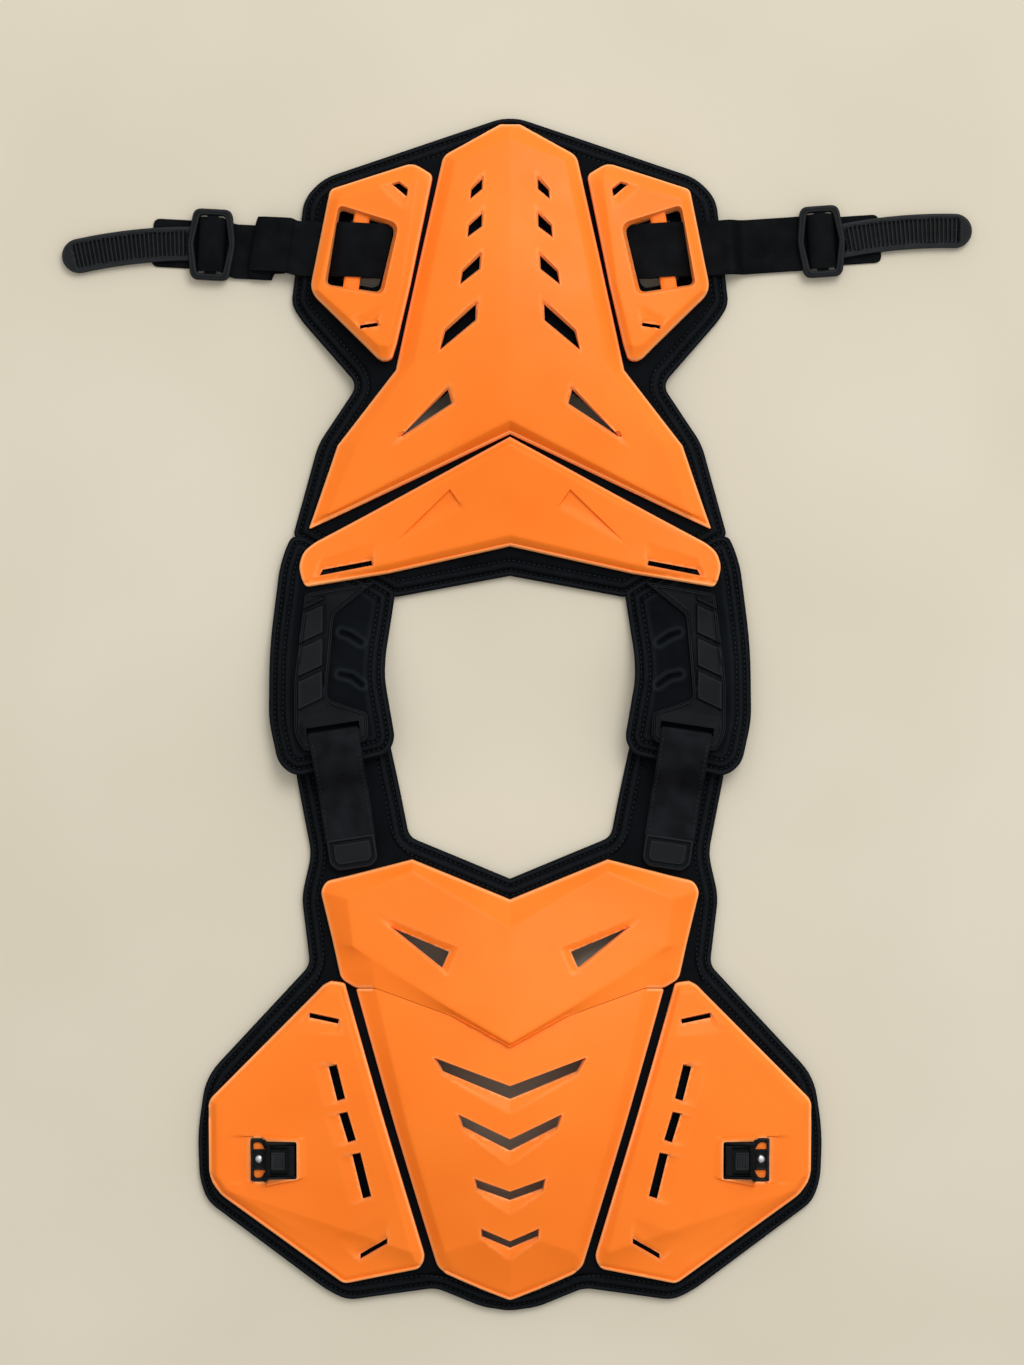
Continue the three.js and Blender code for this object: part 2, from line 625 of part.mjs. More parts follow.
/** Outline of a ribbon of even thickness along a run of points. */
function ribbon(points, thickness) {
  const normals = points.map((here, i) => {
    const before = points[Math.max(i - 1, 0)];
    const after = points[Math.min(i + 1, points.length - 1)];
    const along = after.clone().sub(before).normalize();
    return point(-along.y, along.x).multiplyScalar(thickness / 2);
  });
  const upper = points.map((here, i) => here.clone().add(normals[i]));
  const lower = points.map((here, i) => here.clone().sub(normals[i]));
  return new THREE.Shape([...lower, ...upper.reverse()]);
}

/** Outline of a block with its corners rounded. */
function block(x0, y0, x1, y1, round) {
  return outline([
    { x: x0, y: y0, round }, { x: x1, y: y0, round }, { x: x1, y: y1, round }, { x: x0, y: y1, round },
  ]);
}

/** Body with a loop of webbing added round a bar, whose half width and heights are given. */
function around(body, centre, half, low, high, width) {
  const gap = pinGap;
  const skin = gap + webbingThickness;
  const loop = block(centre - half - skin, low - skin, centre + half + skin, high + skin, skin);
  const hole = block(centre - half - gap, low - gap, centre + half + gap, high + gap, gap);
  return body.add(across(loop, width)).subtract(across(hole, 2 * width));
}

/** Matrix of a side strap: its length runs out from the window's bar, square to the guard. */
function sideStrapFrame(side) {
  const frame = new THREE.Matrix4().makeRotationZ(side.turn).setPosition(barCentre.x, barCentre.y, 0);
  return side.sign < 0 ? frame.premultiply(mirror) : frame;
}

/** Lowest height of a side strap's underside, a given way out from the bar. */
function clearOfPad(side, reach) {
  const place = (offset) =>
    new THREE.Vector3(reach, offset, 0).applyMatrix4(sideStrapFrame({ ...side, sign: 1 }));
  const heights = [-0.5, 0, 0.5].map((share) => {
    const { x, y } = place(share * sideWebbingWidth);
    return x < padSide + webbingThickness ? seat(x, y) : seatGap;
  });
  return Math.max(...heights);
}

const sliderLow = 2 * webbingThickness + 3 * seatGap; // underside of a slider over the floor
const sliderBarLow = sliderLow + seatGap;

/** Webbing that is doubled round the window's bar and round the slider's bar. */
function sideWebbing(side) {
  const reach = side.reach;
  const steps = 14;
  const start = barWidth / 2 + webbingThickness;
  const path = Array.from({ length: steps + 1 }, (_, i) => {
    const s = start + ((reach - start) * i) / steps;
    return point(s, clearOfPad(side, s) + webbingThickness + seatGap);
  });
  path[0].y = barLow - pinGap;
  let body = across(ribbon(path, 2 * webbingThickness), sideWebbingWidth);
  body = around(body, 0, barWidth / 2 + barSkew, barLow, barLow + barThickness, sideWebbingWidth);
  const high = sliderBarLow + sliderBarThickness;
  body = around(body, reach, sliderBarWidth / 2, sliderBarLow, high, sideWebbingWidth);
  return moved(body, sideStrapFrame(side));
}

/** Slider: a frame with a bar across it for the webbing. */
function slider(side) {
  const long = sliderWidth / 2;
  const wide = sliderLength / 2;
  const ring = (x, y, drawn, round) => [
    { x: x - drawn, y: -y, round }, { x, y: 0, round }, { x: x - drawn, y, round },
    { x: -x + drawn, y, round }, { x: -x, y: 0, round }, { x: -x + drawn, y: -y, round },
  ];
  const high = sliderLow + sliderThickness;
  const outer = prism(outline(ring(long, wide, sliderDraw, sliderMember)), sliderLow, high);
  const inner = outline(ring(long - sliderMember, wide - sliderMember, sliderDraw, 2));
  const bar = box(
    -sliderBarWidth / 2, -wide + sliderMember / 2, sliderBarLow,
    sliderBarWidth / 2, wide - sliderMember / 2, sliderBarLow + sliderBarThickness,
  );
  const body = outer.subtract(prism(inner, 0, tall)).add(bar);
  return moved(shifted(body, side.reach, 0, 0), sideStrapFrame(side));
}

/** Frame of a ladder strap, at the slider's outer edge. */
function ladderFrame(side) {
  const leaning = (ladderWidth / 2) * Math.abs(Math.sin(side.lean));
  const start = side.reach + sliderWidth / 2 + seatGap + leaning;
  const frame = new THREE.Matrix4().makeRotationZ(side.lean).setPosition(start, 0, 0);
  return frame.premultiply(sideStrapFrame(side));
}

/** Ribbed strap that bends in its own plane, with a round tip. */
function ladderStrap(side) {
  const low = webbingThickness + 2 * seatGap;
  const high = low + ladderThickness;
  const half = ladderWidth / 2;
  const bend = (ladderLength - half) / ladderTurn;
  const quarter = Math.PI / 2;
  const tip = quarter - ladderTurn;
  const shape = new THREE.Shape();
  shape.absarc(0, -bend, bend + half, quarter, tip, true);
  shape.absarc(bend * Math.cos(tip), -bend + bend * Math.sin(tip), half, tip, tip - Math.PI, true);
  shape.absarc(0, -bend, bend - half, tip, quarter, false);
  let body = prism(shape, low, high, 8);
  const ribs = Math.floor((ladderLength - ladderWidth) / ribPitch);
  for (let i = 0; i < ribs; i++) {
    const turn = -((i + 1) * ribPitch) / bend;
    const rib = box(
      -ribWidth / 2, bend - ribLength / 2, high - ribHeight,
      ribWidth / 2, bend + ribLength / 2, high + ribHeight,
    );
    body = body.add(moved(rib, new THREE.Matrix4().makeRotationZ(turn).setPosition(0, -bend, 0)));
  }
  return moved(body, ladderFrame(side));
}

/** End of the webbing under a ladder strap. */
function ladderBacking(side) {
  const start = side.reach + seatGap;
  const shape = block(start, -backingWidth / 2, start + backingLength, backingWidth / 2, 2);
  return moved(prism(shape, seatGap, seatGap + webbingThickness), sideStrapFrame(side));
}

// Shoulder moulding and its strap
const mouldingSeat = (x, y) => shoulderTop(x, y) + seatGap;
const strapBar = corner([0.557, -0.0405]);
const strapFrame = new THREE.Matrix4()
  .makeRotationZ(-Math.PI / 2 - shoulderStrapTurn)
  .setPosition(strapBar.x, strapBar.y, 0);
const strapRun = (strapBar.y - corner(chestTopCorner).y) / Math.cos(shoulderStrapTurn);
const shoulderStrapLength = strapRun - tabLength - tabToPlate;
const strapBarLow = mouldingSeat(strapBar.x, strapBar.y) + strapBarLift;
const strapBarHigh = mouldingSeat(strapBar.x, strapBar.y) + slotFrameHeight;

/** Rubber moulding on a shoulder pad: a rimmed base, a run of blocks and a slot with a strap bar. */
function shoulderMoulding() {
  const plan = prism(outline(mouldingPlan.map(corner)), -tall, tall);
  const layer = (height) => shoulderLayer(mouldingSeat, (x, y) => mouldingSeat(x, y) + height);
  const [inner, outer] = blockEnds;
  const blocks = blockRows.map(([foot, head]) => {
    const slanted = [
      [outer, foot], [outer, head], [inner, head + blockSlant], [inner, foot + blockSlant],
    ];
    return prism(outline(slanted.map(corner)), -tall, tall);
  });
  const joined = blocks.reduce((all, one) => all.add(one));
  const raised = joined.intersect(layer(mouldingThickness + mouldingBlock));
  const half = strapBarWidth / 2;
  const wide = shoulderWebbingWidth / 2 + webbingPlay;
  const inward = -half - slotLength - strapBarWidth / 2;
  const slotFrame = moved(box(inward, -tall, -tall, half, tall, tall), strapFrame);
  const slot = moved(box(-half - slotLength, -wide, -tall, -half, wide, tall), strapFrame);
  const under = moved(box(-half - slotLength, -wide, -tall, tall, wide, strapBarLow), strapFrame);
  return layer(mouldingThickness)
    .add(raised)
    .add(layer(slotFrameHeight).intersect(slotFrame))
    .intersect(plan)
    .subtract(slot)
    .subtract(under);
}

/** Webbing that is doubled round the moulding's bar and lies down over the pads. */
function shoulderStrap() {
  const lift = webbingThickness + seatGap / 2;
  const high = mouldingSeat(strapBar.x, strapBar.y) + lift;
  const low = seat(strapBar.x, strapBar.y) + lift;
  const bends = [[0, 0], [0.25, 0.12], [0.75, 0.88], [1, 1]]; // shares of the way and of the height
  const path = [
    point(strapBarWidth / 2, high),
    ...bends.map(([way, drop]) => point(shoulderDrop + way * dropLength, high + (low - high) * drop)),
    point(shoulderStrapLength, low),
  ];
  let body = across(ribbon(path, 2 * webbingThickness), shoulderWebbingWidth);
  body = around(body, 0, strapBarWidth / 2, strapBarLow, strapBarHigh, shoulderWebbingWidth);
  return moved(body, strapFrame);
}

/** Rubber end of a shoulder strap, with its outer corners cut off. */
function shoulderTab() {
  const start = shoulderStrapLength + seatGap;
  const end = start + tabLength;
  const half = tabWidth / 2;
  const shape = outline([
    { x: start, y: -half }, { x: end - tabCorner, y: -half }, { x: end, y: tabCorner - half },
    { x: end, y: half - tabCorner }, { x: end - tabCorner, y: half }, { x: start, y: half },
  ]);
  const low = seat(strapBar.x, strapBar.y);
  return moved(prism(shape, low, low + tabThickness), strapFrame);
}

// Buckle, in its own frame: length runs outwards, height is over the pocket's floor
const buckleTop = seatGap + buckleFloor;
const pinHeight = buckleTop + throatHeight + leverThickness / 2;
const pinPlace = buckleLength / 2 - pinToEnd;

/** Pin or bore across the strap. */
function crossCylinder(radius, length) {
  const geometry = new THREE.CylinderGeometry(radius, radius, length, roundSides);
  return solid(geometry.translate(pinPlace, 0, pinHeight));
}

/** Base: a floor with two cheeks that carry the pin, and an ear that is riveted down. */
function buckleBase() {
  const end = -buckleLength / 2;
  const earStart = buckleLength / 2 - earLength;
  const inner = leverWidth / 2 + seatGap;
  const outer = inner + cheekWall;
  const cheekTop = pinHeight + cheekRise;
  const cheekEnd = pinPlace + cheekBehindPin;
  const cheek = new THREE.Shape([
    point(end, seatGap), point(cheekEnd, seatGap), point(cheekEnd, cheekTop),
    point(pinPlace - cheekBehindPin, cheekTop), point(end, buckleTop + cheekRise),
  ]);
  const cheeks = across(cheek, 2 * outer).subtract(box(end - 1, -inner, 0, buckleLength, inner, tall));
  const floor = box(end, -outer, seatGap, earStart, outer, buckleTop);
  const half = buckleWidth / 2;
  const ear = prism(block(earStart - 1, -half, buckleLength / 2, half, 1.5), seatGap, buckleTop);
  const holes = [-1, 1].map((sign) => {
    const middle = sign * (half - earRim - earHoleWidth / 2);
    const start = earStart + earRim;
    const wide = earHoleWidth / 2;
    return prism(block(start, middle - wide, start + earHoleLength, middle + wide, 2), 0, tall);
  });
  return cut(floor.add(ear).add(cheeks), [...holes, crossCylinder(pinRadius + pinGap, 2 * buckleWidth)]);
}

/** Lever: a plate with a ribbed thumb pad, hung on the pin. */
function buckleLever() {
  const end = pinPlace - leverLength;
  const half = leverWidth / 2;
  const low = buckleTop + throatHeight;
  const high = low + leverThickness;
  const bore = pinRadius + pinGap;
  const padTop = high + thumbPadHeight;
  let body = box(end, -half, low, pinPlace, half, high).add(crossCylinder(bore + leverKnuckle, leverWidth));
  const padStart = end + thumbPadEdge;
  const padEnd = padStart + thumbPadLength;
  body = body.add(box(padStart, -thumbPadWidth / 2, low, padEnd, thumbPadWidth / 2, padTop));
  const ribs = Math.floor((thumbPadLength - thumbRib) / thumbRibPitch);
  for (let i = 0; i < ribs; i++) {
    const start = padStart + thumbRib + i * thumbRibPitch;
    const wide = thumbPadWidth / 2 - thumbRibPitch;
    body = body.add(box(start, -wide, high, start + thumbRib, wide, padTop + thumbRib / 2));
  }
  return body.subtract(crossCylinder(bore, buckleWidth));
}

const bucklePin = () => crossCylinder(pinRadius, leverWidth + 2 * (seatGap + cheekWall));

/** Domed rivet through the ear. */
function buckleRivet() {
  const steps = 4;
  const profile = [point(0, 0), point(rivetRadius, 0)];
  for (let i = 1; i <= steps; i++) {
    const angle = (i / steps) * (Math.PI / 2);
    profile.push(point(rivetRadius * Math.cos(angle), rivetHeight * Math.sin(angle)));
  }
  profile[profile.length - 1].x = 0;
  const dome = solid(new THREE.LatheGeometry(profile, roundSides).rotateX(Math.PI / 2));
  return shifted(dome, buckleLength / 2 - rivetToEnd, 0, buckleTop + seatGap);
}

// Assembly
const guard = new THREE.Group();

function add(name, body, look) {
  const mesh = new THREE.Mesh(geometryOf(body), new THREE.MeshStandardMaterial(look));
  mesh.name = name;
  guard.add(mesh);
}

/** Adds the right piece and its mirror image. */
function addPair(name, body, look) {
  add(`${name}_right`, body, look);
  add(`${name}_left`, moved(body, mirror), look);
}

add('chest_pad', chestPad(), padding);
add('back_pad', backPad(), padding);
addPair('shoulder_pad', shoulderPad(), padding);
add('chest_plate', chestPlate(), orange);
add('belly_plate', bellyPlate(), orange);
add('back_plate', backPlate(), orange);
add('neck_plate', neckPlate(), orange);
addPair('chest_side_plate', wingPlate(), orange);
addPair('back_side_plate', backSidePlate(), orange);
addPair('shoulder_moulding', shoulderMoulding(), rubber);
addPair('shoulder_strap', shoulderStrap(), webbing);
addPair('shoulder_tab', shoulderTab(), rubber);
for (const [name, make, look] of [
  ['buckle_base', buckleBase, plastic],
  ['buckle_lever', buckleLever, plastic],
  ['buckle_pin', bucklePin, steel],
  ['buckle_rivet', buckleRivet, steel],
]) {
  addPair(name, moved(make(), atBuckle), look);
}
for (const side of sides) {
  add(`side_webbing_${side.name}`, sideWebbing(side), webbing);
  add(`side_slider_${side.name}`, slider(side), plastic);
  add(`ladder_strap_${side.name}`, ladderStrap(side), plastic);
  add(`ladder_backing_${side.name}`, ladderBacking(side), webbing);
}

export default guard;
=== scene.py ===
"""Looks of a roost deflector: a chest and back guard that lies flat, seen from straight above.

The guard's sizes are in millimetres and its pieces are made in metres, in the frame of the
solids that they stand for. +X is the right of the guard as it lies, +Y runs to the end of the
back half and +Z is up.
"""

import logging
import math
from collections.abc import Callable, Sequence
from dataclasses import dataclass, field
from enum import Enum

import bpy
import numpy as np
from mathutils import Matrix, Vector, geometry


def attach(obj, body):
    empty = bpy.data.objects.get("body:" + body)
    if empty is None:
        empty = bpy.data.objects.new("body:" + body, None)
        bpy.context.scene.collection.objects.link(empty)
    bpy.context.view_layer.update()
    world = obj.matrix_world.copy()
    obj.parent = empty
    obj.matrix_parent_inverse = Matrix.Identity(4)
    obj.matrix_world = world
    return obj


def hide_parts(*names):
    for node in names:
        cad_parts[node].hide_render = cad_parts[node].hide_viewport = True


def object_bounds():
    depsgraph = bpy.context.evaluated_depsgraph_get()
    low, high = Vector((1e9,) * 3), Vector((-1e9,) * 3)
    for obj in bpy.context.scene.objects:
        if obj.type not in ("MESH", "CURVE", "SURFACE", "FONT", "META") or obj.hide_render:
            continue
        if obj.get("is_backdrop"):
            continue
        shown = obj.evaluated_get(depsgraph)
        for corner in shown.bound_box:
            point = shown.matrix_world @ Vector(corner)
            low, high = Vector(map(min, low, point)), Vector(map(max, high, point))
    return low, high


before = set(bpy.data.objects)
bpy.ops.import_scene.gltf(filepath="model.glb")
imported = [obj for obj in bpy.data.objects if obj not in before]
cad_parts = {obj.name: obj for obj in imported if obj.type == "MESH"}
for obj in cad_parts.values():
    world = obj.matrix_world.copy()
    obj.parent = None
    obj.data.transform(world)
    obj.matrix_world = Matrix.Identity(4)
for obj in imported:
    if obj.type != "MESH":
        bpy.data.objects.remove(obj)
CAD_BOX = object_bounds()

logging.basicConfig(level=logging.INFO, format="%(message)s")
LOG = logging.getLogger("roost_deflector")

MM = 0.001

Table = Sequence[Sequence[float]]
Heights = Callable[[np.ndarray], np.ndarray]


class Side(Enum):
    """A side of the guard as it lies."""

    RIGHT = 1
    LEFT = -1

    @property
    def word(self) -> str:
        """Ending of the side's piece names."""
        return self.name.lower()

    @property
    def mirror(self) -> np.ndarray:
        """Factors that turn right-hand places into this side's."""
        return np.array([self.value, 1.0])


@dataclass(frozen=True)
class Form:
    """Overall sizes of the guard, in millimetres."""

    half_width: float = 220.0
    half_length: float = 420.0
    padding: float = 9.0
    seat_gap: float = 0.3
    chest_end: float = 0.02
    chest_hump: tuple[float, float, float, float] = (-0.62, 0.4, 0.98, 24.0)
    back_hump: tuple[float, float, float, float] = (0.61, 0.41, 0.74, 20.0)

    def place(self, table: Table) -> np.ndarray:
        """Turns rows of shares into places.

        Args:
            table: Rows of (across, along) or (across, along, rounding).

        Returns:
            Rows of (x, y, rounding).
        """
        rows = [(*row, 0.0)[:3] for row in table]
        return np.array(rows) * (self.half_width, self.half_length, 1.0)

    def arch(self, points: np.ndarray) -> np.ndarray:
        """Height of the padding's underside over the floor.

        Args:
            points: Rows of (x, y).

        Returns:
            One height for each point.
        """
        height = np.zeros(len(points))
        for centre, along, across, rise in (self.chest_hump, self.back_hump):
            dx = points[:, 0] / (across * self.half_width)
            dy = (points[:, 1] - centre * self.half_length) / (along * self.half_length)
            height += rise * np.maximum(0.0, 1.0 - dx**2 - dy**2) ** 2
        return height

    def seat(self, points: np.ndarray) -> np.ndarray:
        """Height of what lies on the pads.

        Args:
            points: Rows of (x, y).

        Returns:
            One height for each point.
        """
        return self.arch(points) + self.padding + self.seat_gap


FORM = Form()


def whole(half: Table) -> list[tuple[float, ...]]:
    """Completes an outline that is alike on both sides.

    Args:
        half: Its right half, from one end of the centre line to the other.

    Returns:
        The whole outline.
    """
    left = flipped([row for row in half if row[0] > 0])
    return [*map(tuple, half), *reversed(left)]


def smooth(value: np.ndarray, low: float, high: float) -> np.ndarray:
    """Rises smoothly from 0 at low to 1 at high.

    Args:
        value: Numbers to map.
        low: Where the rise starts.
        high: Where it ends.

    Returns:
        Shares between 0 and 1.
    """
    share = np.clip((value - low) / (high - low), 0.0, 1.0)
    return share * share * (3.0 - 2.0 * share)


def bump(value: np.ndarray, centre: float, width: float) -> np.ndarray:
    """Bell of height 1 round a value."""
    return np.exp(-(((value - centre) / width) ** 2))


def ease(gap: np.ndarray, width: float) -> np.ndarray:
    """Falls from 1 at an edge to 0 at a distance from it."""
    return np.clip(1.0 - gap / width, 0.0, 1.0) ** 2


def rolled(gap: np.ndarray, radius: float) -> np.ndarray:
    """Share by which a round edge falls away, at a distance from the edge."""
    return 1.0 - np.sqrt(1.0 - np.clip(1.0 - gap / radius, 0.0, 1.0) ** 2)


def level(height: float) -> Heights:
    """Level face at a height."""
    return lambda points: np.full(len(points), height)


def flipped(table: Table) -> list[tuple[float, ...]]:
    """The same rows on the other side of the centre line."""
    return [(-row[0], *row[1:]) for row in table]


def rounded(corners: np.ndarray, steps: int = 6) -> np.ndarray:
    """Outline through corners, each rounded by its own length of edge.

    Args:
        corners: Rows of (x, y, rounding).
        steps: Pieces of each rounding.

    Returns:
        Rows of (x, y).
    """
    ring = []
    for i, (x, y, rounding) in enumerate(corners):
        here = np.array([x, y])
        start = corners[i - 1, :2] - here
        end = corners[(i + 1) % len(corners), :2] - here
        long_start, long_end = np.linalg.norm(start), np.linalg.norm(end)
        trim = min(rounding, 0.45 * long_start, 0.45 * long_end)
        if trim < 0.05:
            ring.append(here)
            continue
        first = here + start / long_start * trim
        last = here + end / long_end * trim
        for t in np.linspace(0.0, 1.0, steps + 1):
            ring.append((1 - t) ** 2 * first + 2 * t * (1 - t) * here + t * t * last)
    return np.array(ring)


def area_of(ring: np.ndarray) -> float:
    """Signed area of a closed outline."""
    x, y = ring[:, 0], ring[:, 1]
    return 0.5 * float(np.sum(x * np.roll(y, -1) - np.roll(x, -1) * y))


def inset(corners: np.ndarray, distance: float) -> np.ndarray:
    """Moves an outline's edges inwards.

    Args:
        corners: Rows of (x, y, rounding).
        distance: How far, in millimetres; outwards below zero.

    Returns:
        Rows of (x, y, rounding).
    """
    turn = np.sign(area_of(corners[:, :2]))
    moved = []
    for i, (x, y, rounding) in enumerate(corners):
        here = np.array([x, y])
        before, after = corners[i - 1, :2], corners[(i + 1) % len(corners), :2]
        first = np.array([before[1] - y, x - before[0]])
        second = np.array([y - after[1], after[0] - x])
        first, second = first / np.linalg.norm(first), second / np.linalg.norm(second)
        side = (first + second) * turn * distance / (1.0 + first @ second)
        bend = (here - before) @ np.array([after[1] - y, x - after[0]]) * turn
        wider = distance if bend < 0 else -distance
        moved.append((*(here + side), max(0.0, rounding + wider) if rounding else 0.0))
    return np.array(moved)


def outlines(corners: np.ndarray, offsets: Sequence[float]) -> list[np.ndarray]:
    """Rounded outlines through corners, moved inwards by each of some distances."""
    return [rounded(inset(corners, offset)) for offset in offsets]


def resampled(line: np.ndarray, step: float, closed: bool = True) -> np.ndarray:
    """Adds points to the long stretches of a line.

    Args:
        line: Rows of (x, y).
        step: Longest stretch to leave.
        closed: Whether the last point joins the first.

    Returns:
        Rows of (x, y).
    """
    ends = np.roll(line, -1, axis=0) if closed else line[1:]
    points = []
    for start, end in zip(line, ends):
        count = max(1, math.ceil(np.linalg.norm(end - start) / step))
        points += [start + (end - start) * i / count for i in range(count)]
    if not closed:
        points.append(line[-1])
    return np.array(points)


def distance_to(points: np.ndarray, line: np.ndarray, closed: bool = True) -> np.ndarray:
    """Distance of points from a line.

    Args:
        points: Rows of (x, y).
        line: Rows of (x, y) along it.
        closed: Whether its last point joins its first.

    Returns:
        One distance for each point.
    """
    ends = np.roll(line, -1, axis=0) if closed else line[1:]
    best = np.full(len(points), np.inf)
    for start, end in zip(line, ends):
        run = end - start
        length = run @ run
        share = np.clip((points - start) @ run / length, 0.0, 1.0) if length > 0 else np.zeros(len(points))
        gap = points - start - share[:, None] * run
        best = np.minimum(best, gap[:, 0] ** 2 + gap[:, 1] ** 2)
    return np.sqrt(best)


def inside(points: np.ndarray, ring: np.ndarray) -> np.ndarray:
    """Tells which points lie in a closed outline.

    Args:
        points: Rows of (x, y).
        ring: Rows of (x, y) round it.

    Returns:
        True for each point that lies inside.
    """
    within = np.zeros(len(points), bool)
    x, y = points[:, 0], points[:, 1]
    for (x0, y0), (x1, y1) in zip(ring, np.roll(ring, -1, axis=0)):
        crosses = (y0 > y) != (y1 > y)
        if y0 != y1:
            within ^= crosses & (x < (x1 - x0) * (y - y0) / (y1 - y0) + x0)
    return within


@dataclass
class Plan:
    """Flat plan of a piece: its outline, its holes and the lines that its mesh keeps."""

    edge: np.ndarray
    holes: list[np.ndarray] = field(default_factory=list)
    rings: list[np.ndarray] = field(default_factory=list)
    lines: list[np.ndarray] = field(default_factory=list)
    step: float = 1.8

    def from_edge(self, points: np.ndarray) -> np.ndarray:
        """Distance of points from the outline."""
        return distance_to(points, self.edge)

    def from_holes(self, points: np.ndarray) -> np.ndarray:
        """Distance of points from the nearest hole."""
        gaps = [distance_to(points, hole) for hole in self.holes]
        return np.min(gaps, axis=0) if gaps else np.full(len(points), np.inf)

    def meshed(self) -> tuple[np.ndarray, np.ndarray]:
        """Fills the plan with triangles.

        Returns:
            Points as rows of (x, y), and triangles as rows of three point numbers.
        """
        low, high = self.edge.min(axis=0), self.edge.max(axis=0)
        rows = np.arange(low[1], high[1], self.step * math.sqrt(0.75))
        lattice = []
        for i, y in enumerate(rows):
            columns = np.arange(low[0] + (i % 2) * self.step / 2, high[0], self.step)
            lattice.append(np.column_stack([columns, np.full(len(columns), y)]))
        spread = np.vstack(lattice)
        spread = spread[inside(spread, self.edge)]
        for hole in self.holes:
            spread = spread[~inside(spread, hole)]
        kept_lines = [(ring, True) for ring in (self.edge, *self.holes, *self.rings)]
        kept_lines += [(run, False) for run in self.lines]
        for line, joined in kept_lines:
            spread = spread[distance_to(spread, line, joined) > 0.5 * self.step]
        points, edges = [], []
        for line, joined in kept_lines:
            run = resampled(line, self.step, joined)
            first = len(points)
            points += list(run)
            count = len(run)
            last = count if joined else count - 1
            edges += [(first + i, first + (i + 1) % count) for i in range(last)]
        points += list(spread)
        result = geometry.delaunay_2d_cdt([Vector(point) for point in points], edges, [], 0, 1e-4)
        flat = np.array([tuple(vertex) for vertex in result[0]])
        triangles = np.array([face for face in result[2] if len(face) == 3])
        middle = flat[triangles].mean(axis=1)
        kept = inside(middle, self.edge)
        for hole in self.holes:
            kept &= ~inside(middle, hole)
        triangles = triangles[kept]
        sides = flat[triangles]
        turn = np.cross(sides[:, 1] - sides[:, 0], sides[:, 2] - sides[:, 0])
        triangles[turn < 0] = triangles[turn < 0][:, ::-1]
        used, order = np.unique(triangles, return_inverse=True)
        return flat[used], order.reshape(triangles.shape)


def mesh_object(name: str, points: np.ndarray, faces: Sequence, sharp: float = 40.0) -> bpy.types.Object:
    """Makes a piece from points in millimetres.

    Args:
        name: The piece's name.
        points: Rows of (x, y, z).
        faces: Rows of point numbers.
        sharp: Angle, in degrees, over which an edge stays sharp.

    Returns:
        The new object.
    """
    mesh = bpy.data.meshes.new(name)
    mesh.from_pydata((points * MM).tolist(), [], [list(map(int, face)) for face in faces])
    mesh.polygons.foreach_set("use_smooth", [True] * len(mesh.polygons))
    mesh.set_sharp_from_angle(angle=math.radians(sharp))
    mesh.update()
    piece = bpy.data.objects.new(name, mesh)
    bpy.context.scene.collection.objects.link(piece)
    return piece


def relief(
    name: str,
    plan: Plan,
    top: Heights,
    bottom: Heights,
    side: Side | None = None,
    painted_light_and_wear: Heights | None = None,
    sharp: float = 40.0,
) -> bpy.types.Object:
    """Makes a closed solid over a plan, between two heights.

    Args:
        name: The piece's name.
        plan: Its flat plan.
        top: Upper height at each point.
        bottom: Lower height at each point.
        side: Mirrors the solid where this is the left.
        painted_light_and_wear: Share of painted highlight (above zero) and painted shade (below zero), with
            some wear, at each point, kept with the mesh under the same name.
        sharp: Angle, in degrees, over which an edge stays sharp.

    Returns:
        The new object.
    """
    flat, triangles = plan.meshed()
    high, low = top(flat), bottom(flat)
    low = np.minimum(low, high - 0.05)
    # Share of painted highlight and painted shade, which the finishes mix into the colour.
    painted_shading_and_wear = painted_light_and_wear(flat) if painted_light_and_wear else np.zeros(len(flat))
    if side is Side.LEFT:
        flat = flat * side.mirror
        triangles = triangles[:, ::-1]
    count = len(flat)
    points = np.vstack([np.column_stack([flat, high]), np.column_stack([flat, low])])
    runs = {}
    for a, b, c in triangles:
        for run in ((a, b), (b, c), (c, a)):
            runs[run] = True
    walls = [(b, a, a + count, b + count) for a, b in runs if (b, a) not in runs]
    faces = [*triangles.tolist(), *(triangles[:, ::-1] + count).tolist(), *walls]
    piece = mesh_object(name, points, faces, sharp)
    attribute = piece.data.attributes.new("painted_light_and_wear", "FLOAT", "POINT")
    attribute.data.foreach_set("value", np.concatenate([painted_shading_and_wear, np.zeros(count)]))
    return piece


